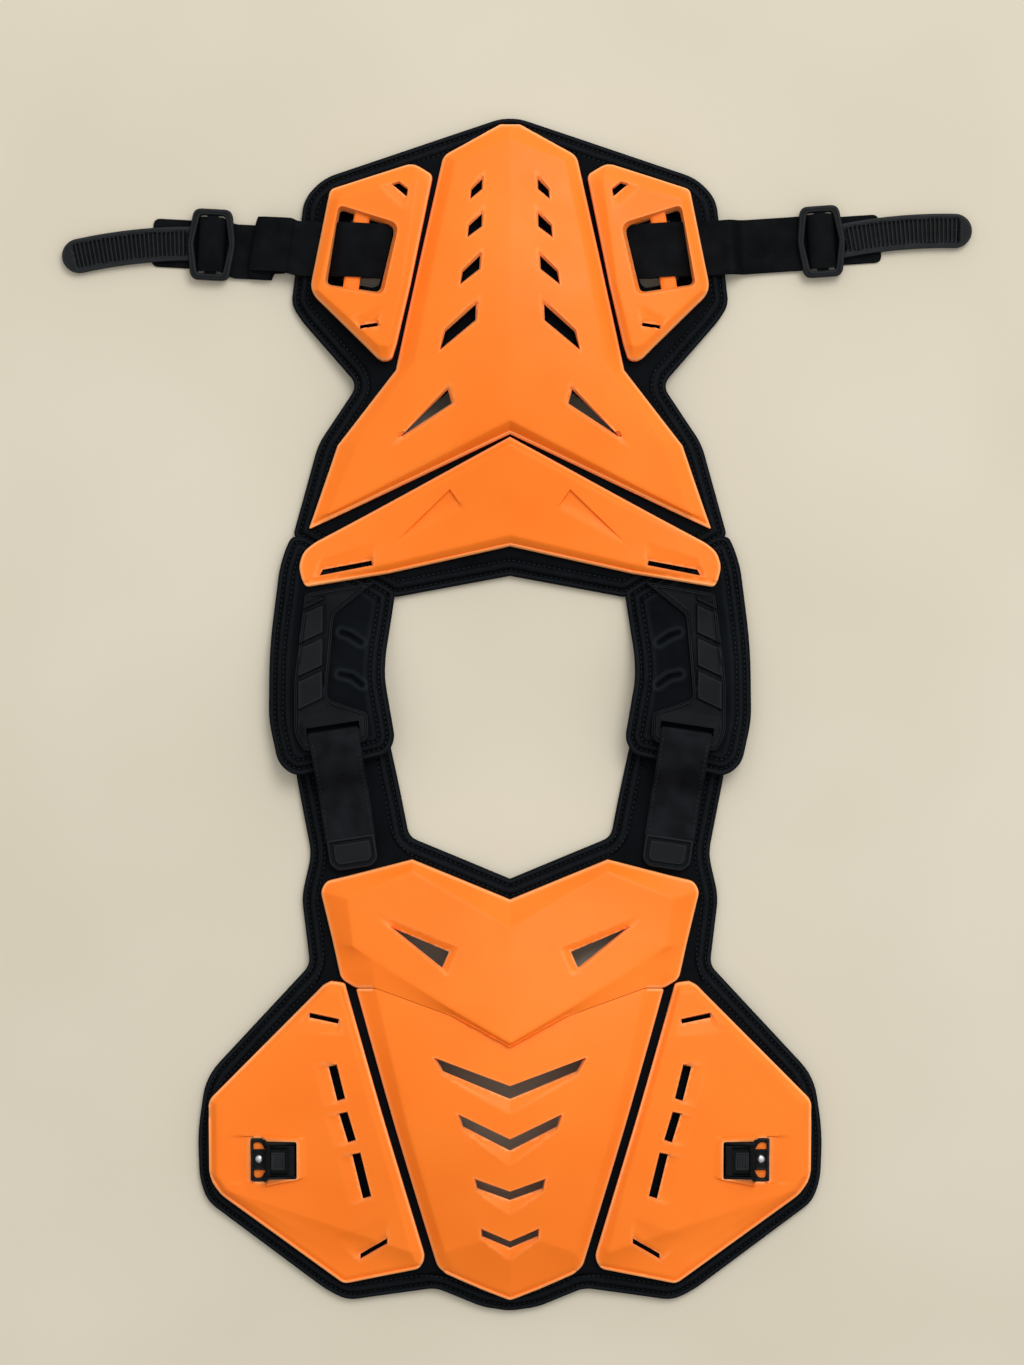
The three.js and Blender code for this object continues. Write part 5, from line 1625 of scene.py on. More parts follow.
@dataclass
class Pad:
    """Foam pad with a knitted cover, a bound edge and sewn channels along it."""

    name: str
    plan: Table
    openings: Sequence[Table] = ()
    binding: float = 4.2
    binding_height: float = 6.0
    channel: float = 11.0
    step: float = 2.2
    thickness: float = 9.0

    def profile(self, gap: np.ndarray) -> np.ndarray:
        """Thickness of the pad at a distance from its edge.

        Args:
            gap: Distances from the edge.

        Returns:
            One thickness for each distance.
        """
        height = self.binding_height - 0.55 * self.binding_height * rolled(gap, self.binding / 2)
        height += (self.thickness - self.binding_height) * smooth(gap, self.binding, self.binding + 4.0)
        height -= 1.5 * bump(gap, self.binding, 0.7)
        height -= 1.5 * bump(gap, self.channel, 0.8)
        return height

    def painted_shading_and_wear(self, gap: np.ndarray) -> np.ndarray:
        """Painted highlight on the crests and painted shade in the seams, at a distance from the edge."""
        crest = 0.55 * bump(gap, 0.5 * self.binding, 1.1)
        crest = crest + 0.35 * bump(gap, 0.5 * (self.binding + self.channel), 1.7)
        return crest - bump(gap, self.binding, 0.7) - 0.9 * bump(gap, self.channel, 0.7)

    def build(self) -> tuple[bpy.types.Object, list[np.ndarray]]:
        """Makes the pad.

        Returns:
            The new object, and the lines that it is sewn along.
        """
        corners = FORM.place(self.plan)
        edge = rounded(corners)
        holes = [rounded(FORM.place(opening)) for opening in self.openings]
        rings = outlines(corners, (0.15, 0.5, 1.1, 2.1, 3.4, 4.2, 5.0, 10.1, 11.0, 11.9))
        plan = Plan(edge, holes, rings, step=self.step)

        def top(points: np.ndarray) -> np.ndarray:
            """Upper face."""
            gap = np.minimum(plan.from_edge(points), plan.from_holes(points) + 1.0)
            x, y = points[:, 0], points[:, 1]
            ripple = 0.18 * np.sin(x / 7.3 + 1.7 * np.sin(y / 19.0))
            ripple = ripple * np.sin(y / 8.9 + 1.3 * np.sin(x / 23.0))
            return FORM.arch(points) + self.profile(gap) + ripple * smooth(gap, 0.5, 4.0)

        def painted_light_and_wear(points: np.ndarray) -> np.ndarray:
            """Painted highlight on the crests, painted shade in the seams."""
            return self.painted_shading_and_wear(plan.from_edge(points))

        piece = relief(f"{self.name}_cover", plan, top, FORM.arch, painted_light_and_wear=painted_light_and_wear, sharp=60.0)
        return piece, sewn(corners, (self.binding, self.channel), top)


class Pads:
    """The padding of both halves."""

    def chest(self) -> Pad:
        """Pad of the chest half, which runs on under the shoulder pads."""
        plan = whole([
            (0, -0.275, 0), (0.323, -0.205, 6), (0.353, -0.125, 10), (0.384, -0.05, 4),
            (0.42, 0, 0), (0.42, FORM.chest_end, 0), (0.7, FORM.chest_end, 0), (0.7, 0, 0),
            (0.684, -0.103, 4), (0.636, -0.233, 8), (0.667, -0.305, 8),
            (0.64, -0.419, 6), (0.974, -0.607, 14), (1, -0.7, 14), (0.994, -0.778, 10), (0.969, -0.816, 14),
            (0.587, -0.965, 10), (0.52, -0.982, 8), (0.237, -0.961, 6), (0.089, -0.993, 6), (0, -1, 6),
        ])
        opening = whole([
            (0, -0.38, 0), (0.3, -0.3, 8), (0.47, -0.34, 8), (0.4, -0.45, 8), (0.16, -0.86, 8), (0, -0.92, 8),
        ])
        return Pad("chest_pad", plan, [opening])

    def back(self) -> Pad:
        """Pad of the back half."""
        plan = whole([
            (0.03, 1, 6), (0.597, 0.9, 14), (0.66, 0.866, 14), (0.7, 0.688, 10), (0.668, 0.661, 10),
            (0.487, 0.552, 8), (0.614, 0.454, 8), (0.695, 0.3, 4), (0.37, 0.197, 3), (0, 0.233, 0),
        ])
        opening = whole([(0.14, 0.56, 8), (0.4, 0.46, 8), (0.36, 0.42, 8), (0, 0.5, 8)])
        window = [(0.37, 0.815, 6), (0.515, 0.835, 6), (0.545, 0.725, 6), (0.42, 0.712, 6)]
        return Pad("back_pad", plan, [opening, window, flipped(window)])

    def build(self, finishes: dict[str, Finish]) -> None:
        """Makes and dresses every pad."""
        threads = []
        for pad in (self.chest(), self.back()):
            piece, lines = pad.build()
            threads += lines
            dressed(piece, finishes["padding"], "padding", "guard", pad.name)
        dressed(stitches("pad_stitching", threads), finishes["thread"], "padding", "guard")


@dataclass
class Shoulders:
    """Shoulder pads with their rubber mouldings, straps and strap ends."""

    ramp: float = 50.0
    ramp_step: float = 12.0
    thickness: float = 12.0
    binding: float = 4.4
    channel: float = 10.5
    moulding: float = 3.0
    block: float = 1.6
    slot_frame: float = 6.4
    slot_length: float = 5.5
    bar_width: float = 10.0
    bar_lift: float = 2.6
    webbing: float = 35.0
    webbing_thickness: float = 1.7
    strap_length: float = 71.9
    drop: float = 21.0
    drop_length: float = 16.0
    tab_length: float = 20.0
    tab_width: float = 34.0
    tab_corner: float = 5.0
    tab_thickness: float = 5.0
    heading: float = -98.6
    bar: tuple[float, float] = (0.557, -0.0405)
    threads: list[np.ndarray] = field(default_factory=list)

    def climb(self, y: np.ndarray) -> np.ndarray:
        """Share of its climb onto the chest pad that a shoulder pad has made."""
        start = FORM.chest_end * FORM.half_length + self.ramp_step
        return smooth(start + self.ramp - y, 0.0, self.ramp)

    def under(self, points: np.ndarray) -> np.ndarray:
        """Underside of a shoulder pad."""
        step = (FORM.padding + FORM.seat_gap) * self.climb(points[:, 1])
        return FORM.arch(points) + step * (1.0 - 0.8 * smooth(np.abs(points[:, 0]), 156.0, 168.0))

    def over(self, points: np.ndarray) -> np.ndarray:
        """Upper face of a shoulder pad, where it is at its full thickness."""
        rise = FORM.padding + (self.thickness - FORM.padding) * self.climb(points[:, 1])
        return self.under(points) + rise

    def course(self, side: Side) -> Course:
        """Where a shoulder strap runs."""
        return Course(tuple(self.bar_place()[0]), self.heading, side)

    def bar_place(self) -> np.ndarray:
        """The bar's middle, as one row of (x, y)."""
        return FORM.place([self.bar])[:, :2]

    def pad(self, side: Side) -> bpy.types.Object:
        """Makes a shoulder pad: bound edge, sewn channels and folds in its inner panel."""
        corners = FORM.place([
            (0.367, 0.207, 3), (0.66, 0.3, 4), (0.7, 0.299, 5), (0.72, 0.276, 6), (0.738, 0.245, 8),
            (0.768, 0.12, 20), (0.771, -0.01, 10), (0.74, -0.081, 14), (0.685, -0.103, 14),
            (0.39, -0.065, 14), (0.367, -0.04, 10), (0.4, 0.06, 20), (0.398, 0.1, 20),
        ])
        rings = outlines(corners, (0.2, 0.7, 1.5, 2.6, 3.6, 4.4, 5.2, 9.6, 10.5, 11.4))
        plan = Plan(rounded(corners), [], rings, step=1.7)
        folds = [
            (FORM.place([(0.476, 0.121), (0.51, 0.133), (0.538, 0.138)])[:, :2], 1.8, 1.5),
            (FORM.place([(0.47, 0.05), (0.505, 0.064), (0.54, 0.068)])[:, :2], 1.8, 1.5),
        ]

        def top(points: np.ndarray) -> np.ndarray:
            """Upper face."""
            gap = plan.from_edge(points)
            height = self.over(points) - 4.5 * rolled(gap, 3.0)
            height -= 2.2 * (1.0 - smooth(gap, self.binding, self.binding + 4.0)) * smooth(gap, 0.0, 2.0)
            height -= 1.5 * bump(gap, self.binding, 0.8) + 1.4 * bump(gap, self.channel, 0.8)
            inner = smooth(gap, self.channel, self.channel + 3.0)
            for line, depth, width in folds:
                away = distance_to(points, line, closed=False)
                height += inner * depth * (0.6 * bump(away, 3.6, 2.2) - bump(away, 0.0, width))
            x, y = points[:, 0], points[:, 1]
            wave = np.sin(x / 4.1 + 1.9 * np.sin(y / 11.0)) * np.sin(y / 7.7 + 1.4 * np.sin(x / 6.0))
            return np.maximum(height + 0.4 * wave * inner, self.under(points) + 1.0)

        def painted_light_and_wear(points: np.ndarray) -> np.ndarray:
            """Painted highlight on the crests, painted shade in the seams and the folds."""
            gap = plan.from_edge(points)
            share = 0.5 * bump(gap, 2.2, 1.2) + 0.35 * bump(gap, 7.5, 1.6) + 0.3 * bump(gap, 13.5, 1.4)
            share -= bump(gap, self.binding, 0.8) + bump(gap, self.channel, 0.8)
            for line, _, width in folds:
                away = distance_to(points, line, closed=False)
                share += 0.5 * bump(away, 3.2, 1.5) - bump(away, 0.0, 0.7 * width)
            return share

        piece = relief(f"shoulder_pad_{side.word}_cover", plan, top, self.under, side, painted_light_and_wear, sharp=60.0)
        for line in sewn(corners, (self.binding, self.channel), top):
            self.threads.append(line * (side.value, 1.0, 1.0))
        return piece

    def hardware_top(self, points: np.ndarray) -> np.ndarray:
        """Seat of the moulding."""
        return self.over(points) + FORM.seat_gap

    def rubber_moulding(self, side: Side) -> bpy.types.Object:
        """Makes a shoulder moulding: a rimmed base, four slanted blocks and a slot with a bar."""
        corners = FORM.place([
            (0.43, 0.223, 2), (0.655, 0.203, 3), (0.686, 0.055, 6), (0.686, -0.032, 6), (0.655, -0.06, 3),
            (0.468, -0.0455, 3), (0.449, -0.036, 2), (0.452, 0.0033, 3), (0.582, 0.027, 4), (0.563, 0.167, 4),
        ])
        course = self.course(side)
        half, wide = self.bar_width / 2, self.webbing / 2 + 1.2
        slot_far = -half - self.slot_length
        slot = course.on(np.array([(slot_far, -wide), (-half, -wide), (-half, wide), (slot_far, wide)]))
        block_near, block_far, slant = 0.594, 0.674, 0.02
        blocks = [
            FORM.place([
                (block_far, foot, 1), (block_far, head, 1),
                (block_near, head + slant, 1), (block_near, foot + slant, 1),
            ])
            for foot, head in ((0.172, 0.178), (0.117, 0.166), (0.062, 0.111), (0.007, 0.056))
        ]
        rings = outlines(corners, (0.3, 0.8, 1.15, 1.5, 2.0, 2.45, 2.9, 3.4, 4.0))
        for block in blocks:
            rings += outlines(block, (-0.7, 0.0, 0.5, 1.1))
        plan = Plan(rounded(corners), [slot], rings, step=1.2)

        def top(points: np.ndarray) -> np.ndarray:
            """Upper face."""
            gap = plan.from_edge(points)
            height = self.moulding - 0.9 * rolled(gap, 0.9)
            height -= 1.2 * bump(gap, 1.15, 0.3) + 1.2 * bump(gap, 2.45, 0.32) + 0.8 * smooth(gap, 3.0, 3.6)
            for block in blocks:
                ring = rounded(block)
                within = inside(points, ring)
                away = distance_to(points, ring)
                height += (self.block + 1.0) * smooth(np.where(within, away, 0.0), 0.0, 0.9)
                height -= 0.7 * np.where(within, 0.0, bump(away, 0.2, 0.9)) * (gap > 3.2)
            way = course.off(points)
            lifted = smooth(way[:, 0], slot_far - 9.0, slot_far - 0.5)
            centred = 1.0 - smooth(np.abs(way[:, 1]), wide + 1.0, wide + 6.0)
            rise = self.slot_frame - self.moulding
            height += rise * lifted * centred * (1.0 - smooth(way[:, 0], half, half + 6.0))
            return self.hardware_top(points) + height

        def bottom(points: np.ndarray) -> np.ndarray:
            """Lower face, raised under the bar and the strap."""
            way = course.off(points)
            over_strap = (way[:, 0] > -half - 0.1) & (np.abs(way[:, 1]) < wide + 0.1)
            return self.hardware_top(points) + np.where(over_strap, self.bar_lift - 0.3, 0.0)

        def painted_light_and_wear(points: np.ndarray) -> np.ndarray:
            """Painted highlight on the rim, on the blocks' tops and round their edges."""
            gap = plan.from_edge(points)
            share = 0.35 * bump(gap, 0.55, 0.3) + 0.5 * bump(gap, 1.8, 0.35) + 0.25 * bump(gap, 3.1, 0.3)
            for block in blocks:
                within = inside(points, rounded(inset(block, 0.5)))
                edge = bump(distance_to(points, rounded(inset(block, 1.0))), 0.0, 0.5)
                share = np.maximum(share, np.where(within, 0.07 + 0.3 * edge, 0.0))
            return share

        return relief(f"shoulder_moulding_{side.word}_skin", plan, top, bottom, side, painted_light_and_wear, sharp=45.0)

    def strap(self, side: Side) -> bpy.types.Object:
        """Makes a shoulder strap, doubled round its bar."""
        here = self.bar_place()
        high, low = self.hardware_top(here)[0], FORM.seat(here)[0]
        thick, half = self.webbing_thickness, self.bar_width / 2
        bar_top = high + self.slot_frame
        end, landing = self.strap_length, self.drop + self.drop_length
        turn_start = (-half - 1.3, high + self.bar_lift + 1.5)
        top = [
            turn_start, (-half - 1.3, bar_top + 1.0), (half, bar_top + 1.0),
            (self.drop, high + 1.6 * thick), (landing, low + 1.6 * thick), (end, low + 1.6 * thick),
        ]
        under = [
            turn_start, (-half + 0.5, high + 0.6 * thick), (self.drop, high + 0.5 * thick),
            (landing, low + 0.5 * thick), (end, low + 0.5 * thick),
        ]
        path = np.vstack([bent(under, 6.0)[::-1], bent(top, 7.0)[1:]])

        def sway(places: np.ndarray) -> np.ndarray:
            """Slight sag between the edges."""
            way, across = places[:, 0], places[:, 1]
            places[:, 2] += 0.35 * (1.0 - (2 * across / self.webbing) ** 2) * smooth(way, half, half + 12.0)
            places[:, 2] += 0.12 * np.sin(way / 5.3 + across / 9.0) * smooth(way, half, half + 12.0)
            return places

        name = f"shoulder_strap_{side.word}_webbing"
        piece = ribbon(name, path, self.webbing, thick, self.course(side), sway)
        for edge in (-1, 1):
            run = resampled(bent(top, 7.0)[8:], 1.5, closed=False)
            across = np.full(len(run), edge * (self.webbing / 2 - 2.0))
            flat = self.course(side).on(np.column_stack([run[:, 0], across]))
            self.threads.append(np.column_stack([flat * side.mirror, run[:, 1] + thick / 2 + 0.1]))
        return piece

    def tab(self, side: Side) -> bpy.types.Object:
        """Makes the rubber end of a shoulder strap, with a raised panel."""
        start, half = self.strap_length - 2.5, self.tab_width / 2
        end = self.strap_length + self.tab_length
        cut = self.tab_corner
        plan_corners = np.array([
            (start, -half, 2), (end - cut, -half, 3), (end, cut - half, 3),
            (end, half - cut, 3), (end - cut, half, 3), (start, half, 2),
        ])
        seat = FORM.seat(self.bar_place())[0]
        course = self.course(side)
        offsets = (0.3, 0.9, 1.6, 3.0, 3.8, 4.6, 5.6)
        rings = [course.on(ring) for ring in outlines(plan_corners, offsets)]
        plan = Plan(course.on(rounded(plan_corners)), [], rings, step=1.1)

        def top(points: np.ndarray) -> np.ndarray:
            """Upper face."""
            gap = plan.from_edge(points)
            height = self.tab_thickness - 1.2 * rolled(gap, 1.2)
            height -= 1.4 * smooth(gap, 1.7, 2.5) - 1.6 * smooth(gap, 3.7, 4.6)
            return seat + height

        def bottom(points: np.ndarray) -> np.ndarray:
            """Lower face, which lets the strap in."""
            way = course.off(points)[:, 0]
            return np.where(way < self.strap_length, seat + 2.2 * self.webbing_thickness, seat)

        def painted_light_and_wear(points: np.ndarray) -> np.ndarray:
            """Painted highlight along the edges of the rim and the panel; the panel a touch paler."""
            gap = plan.from_edge(points)
            return 0.4 * bump(gap, 0.9, 0.5) + 0.15 * smooth(gap, 4.2, 4.8) + 0.35 * bump(gap, 4.7, 0.5)

        return relief(f"shoulder_tab_{side.word}_skin", plan, top, bottom, side, painted_light_and_wear)

    def build(self, finishes: dict[str, Finish]) -> None:
        """Makes and dresses both shoulders."""
        for side in Side:
            word = side.word
            pad = dressed(self.pad(side), finishes["padding"], "padding", "guard", f"shoulder_pad_{word}")
            moulding, strap = self.rubber_moulding(side), self.strap(side)
            dressed(moulding, finishes["rubber"], "rubber", "guard", f"shoulder_moulding_{word}")
            dressed(strap, finishes["shoulder_webbing"], "webbing", "guard", f"shoulder_strap_{word}")
            dressed(self.tab(side), finishes["rubber"], "rubber", "guard", f"shoulder_tab_{word}")
        dressed(stitches("shoulder_stitching", self.threads), finishes["thread"], "webbing", "guard")


@dataclass
class SideStrap:
    """Side strap of the back half: webbing round the window's bar, a slider and a ladder strap."""

    side: Side
    turn: float
    reach: float
    lean: float
    width: float = 38.0
    thickness: float = 1.7
    bar_ends: Table = ((0.47, 0.833), (0.505, 0.7167))
    bar_width: float = 11.0
    bar_thickness: float = 3.5
    bar_lift: float = 5.0
    pad_side: float = 0.7
    slider_length: float = 50.0
    slider_width: float = 34.0
    slider_thickness: float = 5.0
    slider_member: float = 4.5
    slider_draw: float = 3.6
    slider_bar: float = 8.0
    slider_bar_thickness: float = 2.5
    ladder_width: float = 24.0
    ladder_length: float = 88.0
    ladder_thickness: float = 3.0
    ladder_turn: float = 12.0
    rib_pitch: float = 3.0
    rib_length: float = 15.0
    rib_end: float = 9.5
    backing: tuple[float, float] = (42.0, 34.0)

    def __post_init__(self) -> None:
        """Works out where the strap starts."""
        ends = FORM.place(self.bar_ends)[:, :2]
        self.centre = ends.mean(axis=0)
        self.course = Course(tuple(self.centre), self.turn, self.side)
        self.bar_low = float(FORM.seat(self.centre[None])[0]) + self.bar_lift
        self.slider_low = 2 * self.thickness + 3 * FORM.seat_gap

    def ground(self, way: np.ndarray) -> np.ndarray:
        """Height of what the strap lies on, a given way out from its bar."""
        heights = []
        pad_end = self.pad_side * FORM.half_width
        for across in (-0.5 * self.width, 0.0, 0.5 * self.width):
            places = self.course.on(np.column_stack([way, np.full(len(way), across)]))
            past = smooth(places[:, 0], pad_end - 2.0, pad_end + 9.0)
            heights.append((1.0 - past) * FORM.seat(places) + past * FORM.seat_gap)
        return np.max(heights, axis=0)

    def bar(self) -> bpy.types.Object:
        """Makes the strap bar across the window."""
        ends = FORM.place(self.bar_ends)[:, :2]
        run = ends[1] - ends[0]
        length = float(np.linalg.norm(run)) + 5.0
        turn = math.degrees(math.atan2(run[1], run[0]))
        course = Course(tuple(self.centre), turn, self.side)
        half, end = self.bar_width / 2, length / 2
        plan = Plan(course.on(np.array([(-end, -half), (end, -half), (end, half), (-end, half)])), step=1.2)
        high = self.bar_low + self.bar_thickness

        def top(points: np.ndarray) -> np.ndarray:
            """Upper face, rounded along its edges."""
            across = np.abs(course.off(points)[:, 1])
            return high - 1.2 * smooth(across, half - 1.6, half)

        return relief(f"strap_bar_{self.side.word}", plan, top, level(self.bar_low), self.side)

    def webbing(self) -> bpy.types.Object:
        """Makes the webbing, in a loose loop round the window's bar and round the slider's bar."""
        thick = self.thickness
        lift = thick / 2 + 0.1
        loop = 21.0
        out = np.linspace(loop, self.reach - 12.0, 30)
        floor = self.ground(out)
        bottom = list(zip(out, floor + lift))
        top = list(zip(out, floor + lift + thick + 0.25))
        pad_low = float(self.ground(np.array([-loop]))[0])
        bar_top = self.bar_low + self.bar_thickness
        if self.side is Side.LEFT:
            fold = [
                (48.0, 12.4), (60.0, 12.0), (70.0, 10.8), (74.0, 8.4),
                (72.0, 6.4), (63.0, 6.2), (59.5, 4.9), (63.0, 3.7),
            ]
            before = [point for point in top if point[0] < fold[0][0]]
            after = [point for point in top if point[0] > fold[3][0]]
            top = [*before, *fold, *after]
        else:
            hump_height, hump_way, hump_reach = 2.6, 51.0, 8.0
            top = [
                (way, height + hump_height * math.exp(-(((way - hump_way) / hump_reach) ** 2)))
                for way, height in top
            ]
        under_bar = self.bar_low - thick
        low_loop = [(14.0, under_bar), (-6.0, under_bar - 0.6), (-loop, pad_low + 2.2)]
        high_loop = [
            (-loop - 1.0, bar_top - 1.0), (-loop + 7.0, bar_top + 1.2),
            (3.0, bar_top + 1.5), (10.0, bar_top + 0.4),
        ]
        slider_top = self.slider_low + self.slider_bar_thickness
        reach = self.reach
        hump = [
            (reach - 9.5, lift + thick + 1.2), (reach - 8.6, slider_top + 1.6),
            (reach - 4.5, slider_top + 3.4), (reach, slider_top + 3.8), (reach + 4.5, slider_top + 3.4),
            (reach + 8.6, slider_top + 1.6), (reach + 9.0, lift + FORM.seat_gap),
        ]
        path = bent([*bottom[::-1], *low_loop, *high_loop, *top, *hump], 5.0, 4)

        def sway(places: np.ndarray) -> np.ndarray:
            """Skews the loop in the window, and lets the strap wave a little."""
            way, across = places[:, 0], places[:, 1]
            places[:, 0] = way - 0.17 * across * smooth(-way, 2.0, loop)
            free = smooth(way, 24.0, 40.0) * (1.0 - smooth(way, reach - 22.0, reach - 12.0))
            places[:, 2] += 0.3 * free * np.sin(way / 6.1 + across / 7.0) * smooth(places[:, 2], 2.0, 4.0)
            if self.side is Side.LEFT:
                before, high = 1.0 - smooth(way, 76.0, 77.0), smooth(places[:, 2], 6.0, 8.5)
                folded = smooth(way, 40.0, 52.0) * before * high
                hidden = smooth(way, 22.0, 34.0) * (1.0 - smooth(way, 58.0, 60.0)) * (1.0 - high)
                low = smooth(way, 57.5, 60.0) * (1.0 - smooth(way, reach - 18.0, reach - 6.0))
                low = low * (1.0 - folded)
                places[:, 1] = across + 2.2 * folded + 1.4 * hidden - 3.4 * low
                places[:, 0] -= 0.13 * across * folded
            return places

        name = f"side_webbing_{self.side.word}_strap"
        return ribbon(name, path, self.width, thick, self.course, sway, cells=16)

    def slider(self) -> bpy.types.Object:
        """Makes the slider: a six-sided frame with a bar across it."""
        long, wide, member = self.slider_width / 2, self.slider_length / 2, self.slider_member
        drawn = self.slider_draw

        def ring(x: float, y: float, rounding: float) -> np.ndarray:
            """Six corners of the frame, in the strap's frame."""
            return np.array([
                (x - drawn, -y, rounding), (x, 0, rounding), (x - drawn, y, rounding),
                (drawn - x, y, rounding), (-x, 0, rounding), (drawn - x, -y, rounding),
            ])

        centre = self.course.on(np.array([[self.reach, 0.0]]))[0]
        course = Course(tuple(centre), self.turn, self.side)
        outer, inner = ring(long, wide, 5.5), ring(long - member, wide - member, 2.5)
        rings = [course.on(line) for line in outlines(outer, (0.2, 0.6, 1.2))]
        rings += [course.on(line) for line in outlines(inner, (-0.2, -0.6, -1.2))]
        plan = Plan(course.on(rounded(outer)), [course.on(rounded(inner))], rings, step=1.0)
        high = self.slider_low + self.slider_thickness

        def top(points: np.ndarray) -> np.ndarray:
            """Upper face, rounded along both edges."""
            gap = np.minimum(plan.from_edge(points), plan.from_holes(points))
            return high - 1.4 * rolled(gap, 1.4)

        def painted_light_and_wear(points: np.ndarray) -> np.ndarray:
            """Painted highlight along the edges."""
            return 0.5 * bump(np.minimum(plan.from_edge(points), plan.from_holes(points)), 0.9, 0.6)

        frame_piece = relief("slider_frame", plan, top, level(self.slider_low), self.side, painted_light_and_wear)
        half = self.slider_bar / 2
        table = np.array([(-half, 1 - wide), (half, 1 - wide), (half, wide - 1), (-half, wide - 1)])
        bar = Plan(course.on(table), step=1.5)
        bar_low = self.slider_low + FORM.seat_gap
        bar_top = level(bar_low + self.slider_bar_thickness)
        bar_piece = relief("slider_bar", bar, bar_top, level(bar_low), self.side)
        return joined(f"side_slider_{self.side.word}_frame", [frame_piece, bar_piece])

    def ladder(self) -> bpy.types.Object:
        """Makes the ladder strap: smooth rails, a trough with ribs and a round tip."""
        half = self.ladder_width / 2
        leaning = half * abs(math.sin(math.radians(self.lean)))
        start = self.reach + self.slider_width / 2 + FORM.seat_gap + leaning
        place = self.course.on(np.array([[start, 0.0]]))[0]
        course = Course(tuple(place), self.turn + self.lean, self.side)
        turn = math.radians(self.ladder_turn)
        bend = (self.ladder_length - half) / turn
        low = self.thickness + 2 * FORM.seat_gap
        lead = 5.0
        arcs = np.linspace(-lead / bend, turn, 30)
        outline = [((bend + half) * math.sin(t), (bend + half) * math.cos(t) - bend) for t in arcs]
        middle = np.array([bend * math.sin(turn), bend * math.cos(turn) - bend])
        for angle in np.linspace(0, math.pi, 17)[1:-1]:
            outward = math.pi / 2 - turn - angle
            outline.append(tuple(middle + half * np.array([math.cos(outward), math.sin(outward)])))
        outline += [((bend - half) * math.sin(t), (bend - half) * math.cos(t) - bend) for t in reversed(arcs)]
        table = np.array([(*point, 0.0) for point in outline])
        edge = course.on(table[:, :2])
        rings = [course.on(inset(table, offset)[:, :2]) for offset in (0.3, 0.9)]
        last = self.ladder_length - self.rib_end
        trough_half = self.rib_length / 2

        def across_line(way: float) -> np.ndarray:
            """Line across the trough, a given way along the bend."""
            spread = np.linspace(-trough_half, trough_half, 6)
            arm, t = bend + spread, way / bend
            return course.on(np.column_stack([arm * math.sin(t), arm * math.cos(t) - bend]))

        ribs = np.arange(1.0, last, self.rib_pitch)
        lines = [across_line(rib + offset) for rib in ribs for offset in (0.0, 0.35, 1.35, 1.7)]
        plan = Plan(edge, [], rings, lines, step=1.5)

        def local(points: np.ndarray) -> tuple[np.ndarray, np.ndarray]:
            """Way along the bend, and distance across it."""
            flat = course.off(points)
            radius = np.hypot(flat[:, 0], flat[:, 1] + bend)
            return np.arctan2(flat[:, 0], flat[:, 1] + bend) * bend, radius - bend

        def tooth(way: np.ndarray) -> np.ndarray:
            """Share of a rib's height, a given way along the bend."""
            rib = np.mod(way - 1.0, self.rib_pitch)
            return smooth(rib, 0.02, 0.33) * (1.0 - smooth(rib, 1.37, 1.68))

        def top(points: np.ndarray) -> np.ndarray:
            """Upper face."""
            way, across = local(points)
            height = self.ladder_thickness + 0.6 - 0.9 * rolled(plan.from_edge(points), 0.9)
            trough = 1.0 - smooth(np.abs(across), trough_half - 0.2, trough_half + 0.9)
            trough *= 1.0 - smooth(way, last, last + 0.8)
            return low + height - trough * (1.5 - 1.2 * tooth(way))

        def painted_light_and_wear(points: np.ndarray) -> np.ndarray:
            """Painted highlight along the rails and the ribs' tops, painted shade between the ribs."""
            way, across = local(points)
            trough = (np.abs(across) < trough_half + 0.3) & (way < last + 0.4)
            ribbed = 0.35 * tooth(way) - 0.7 * (1.0 - tooth(way))
            return np.where(trough, ribbed, 0.25 + 0.3 * bump(plan.from_edge(points), 0.8, 0.7))

        return relief(f"ladder_strap_{self.side.word}_ribs", plan, top, level(low), self.side, painted_light_and_wear)

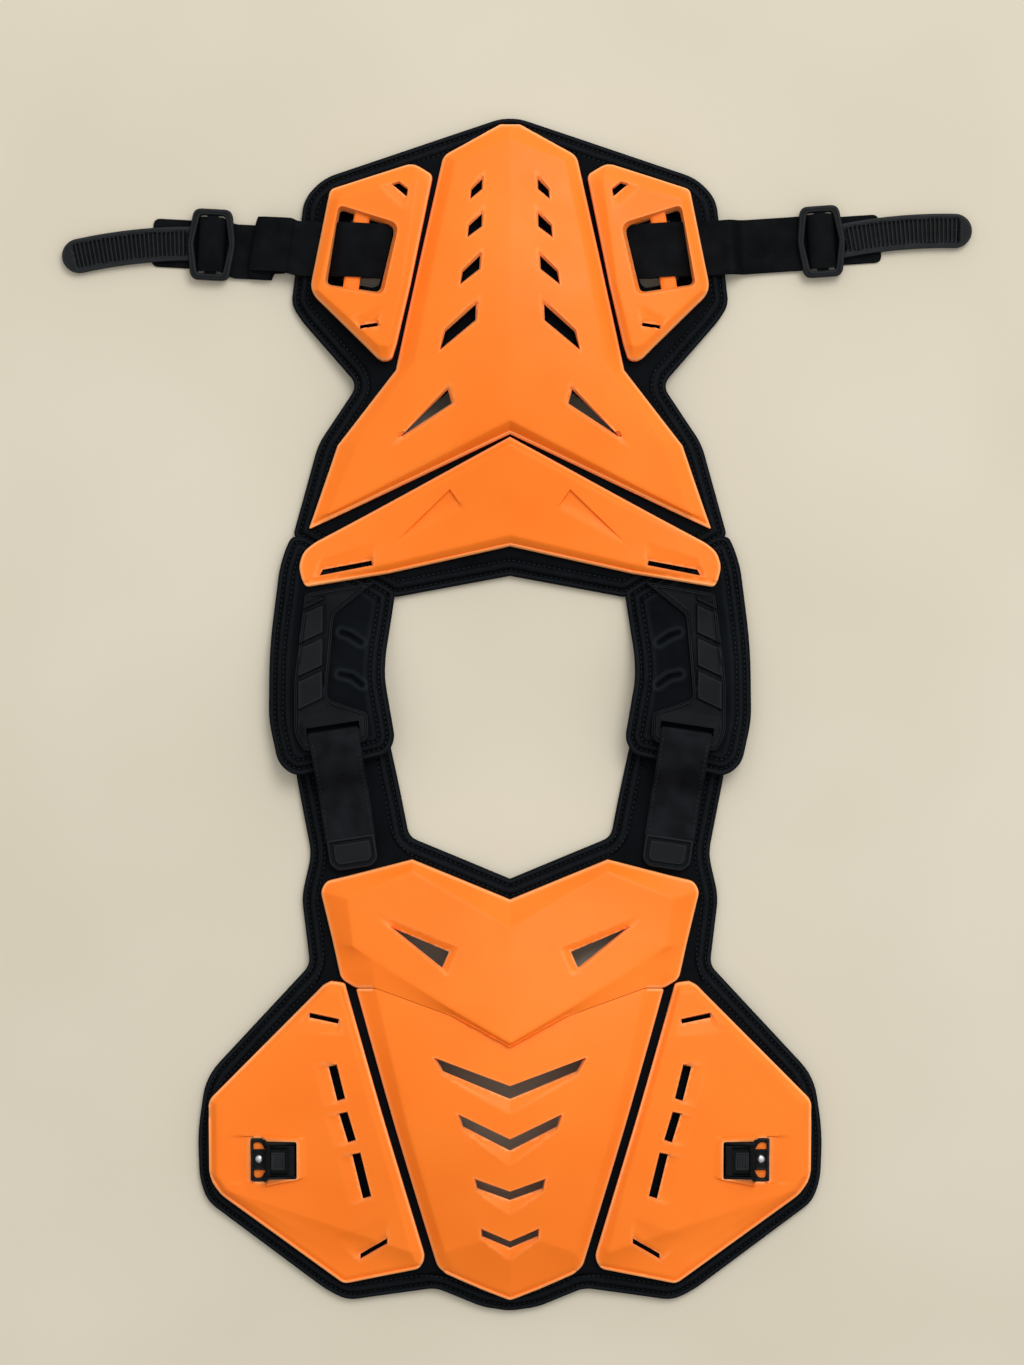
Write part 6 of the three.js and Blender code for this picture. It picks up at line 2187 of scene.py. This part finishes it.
    def backing_cloth(self) -> bpy.types.Object:
        """Makes the end of the webbing under the ladder strap."""
        length, width = self.backing
        half = width / 2
        centre = self.course.on(np.array([[self.reach, 0.0]]))[0]
        course = Course(tuple(centre), self.turn, self.side)
        table = np.array([(0.5, -half, 2), (length, -half, 5), (length, half, 5), (0.5, half, 2)])
        plan = Plan(course.on(rounded(table)), [], [course.on(rounded(inset(table, 0.5)))], step=1.6)

        def top(points: np.ndarray) -> np.ndarray:
            """Upper face."""
            return FORM.seat_gap + self.thickness - 0.7 * rolled(plan.from_edge(points), 0.8)

        name = f"ladder_backing_{self.side.word}_cloth"
        return relief(name, plan, top, level(FORM.seat_gap), self.side)

    def build(self, finishes: dict[str, Finish]) -> None:
        """Makes and dresses the strap."""
        word = self.side.word
        dressed(self.bar(), finishes["plate"], "orange_plastic", "guard")
        dressed(self.webbing(), finishes["webbing"], "webbing", "guard", f"side_webbing_{word}")
        dressed(self.slider(), finishes["plastic"], "black_plastic", "guard", f"side_slider_{word}")
        dressed(self.ladder(), finishes["plastic"], "black_plastic", "guard", f"ladder_strap_{word}")
        dressed(self.backing_cloth(), finishes["webbing"], "webbing", "guard", f"ladder_backing_{word}")


def main() -> None:
    """Builds the stage and the guard."""
    finishes = {
        "plate": MouldedPlate(), "padding": KnitCover(), "webbing": Webbing(),
        "shoulder_webbing": ShoulderWebbing(), "rubber": Rubber(),
        "plastic": BlackPlastic(), "steel": Steel(), "thread": Thread(),
    }
    Stage().build()
    Plates().build(finishes)
    Pads().build(finishes)
    Shoulders().build(finishes)
    for side, turn, reach, lean in ((Side.RIGHT, 3.9, 112.0, 7.0), (Side.LEFT, 3.0, 103.0, -3.5)):
        SideStrap(side, turn, reach, lean).build(finishes)
        Buckle(side).build(finishes)
    low, high = CAD_BOX
    new_low, new_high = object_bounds()
    boxes = {"cad": [list(low), list(high)], "visual": [list(new_low), list(new_high)]}
    {name: [[float(v) for v in corner] for corner in box] for name, box in boxes.items()}


if __name__ == "__main__":
    main()
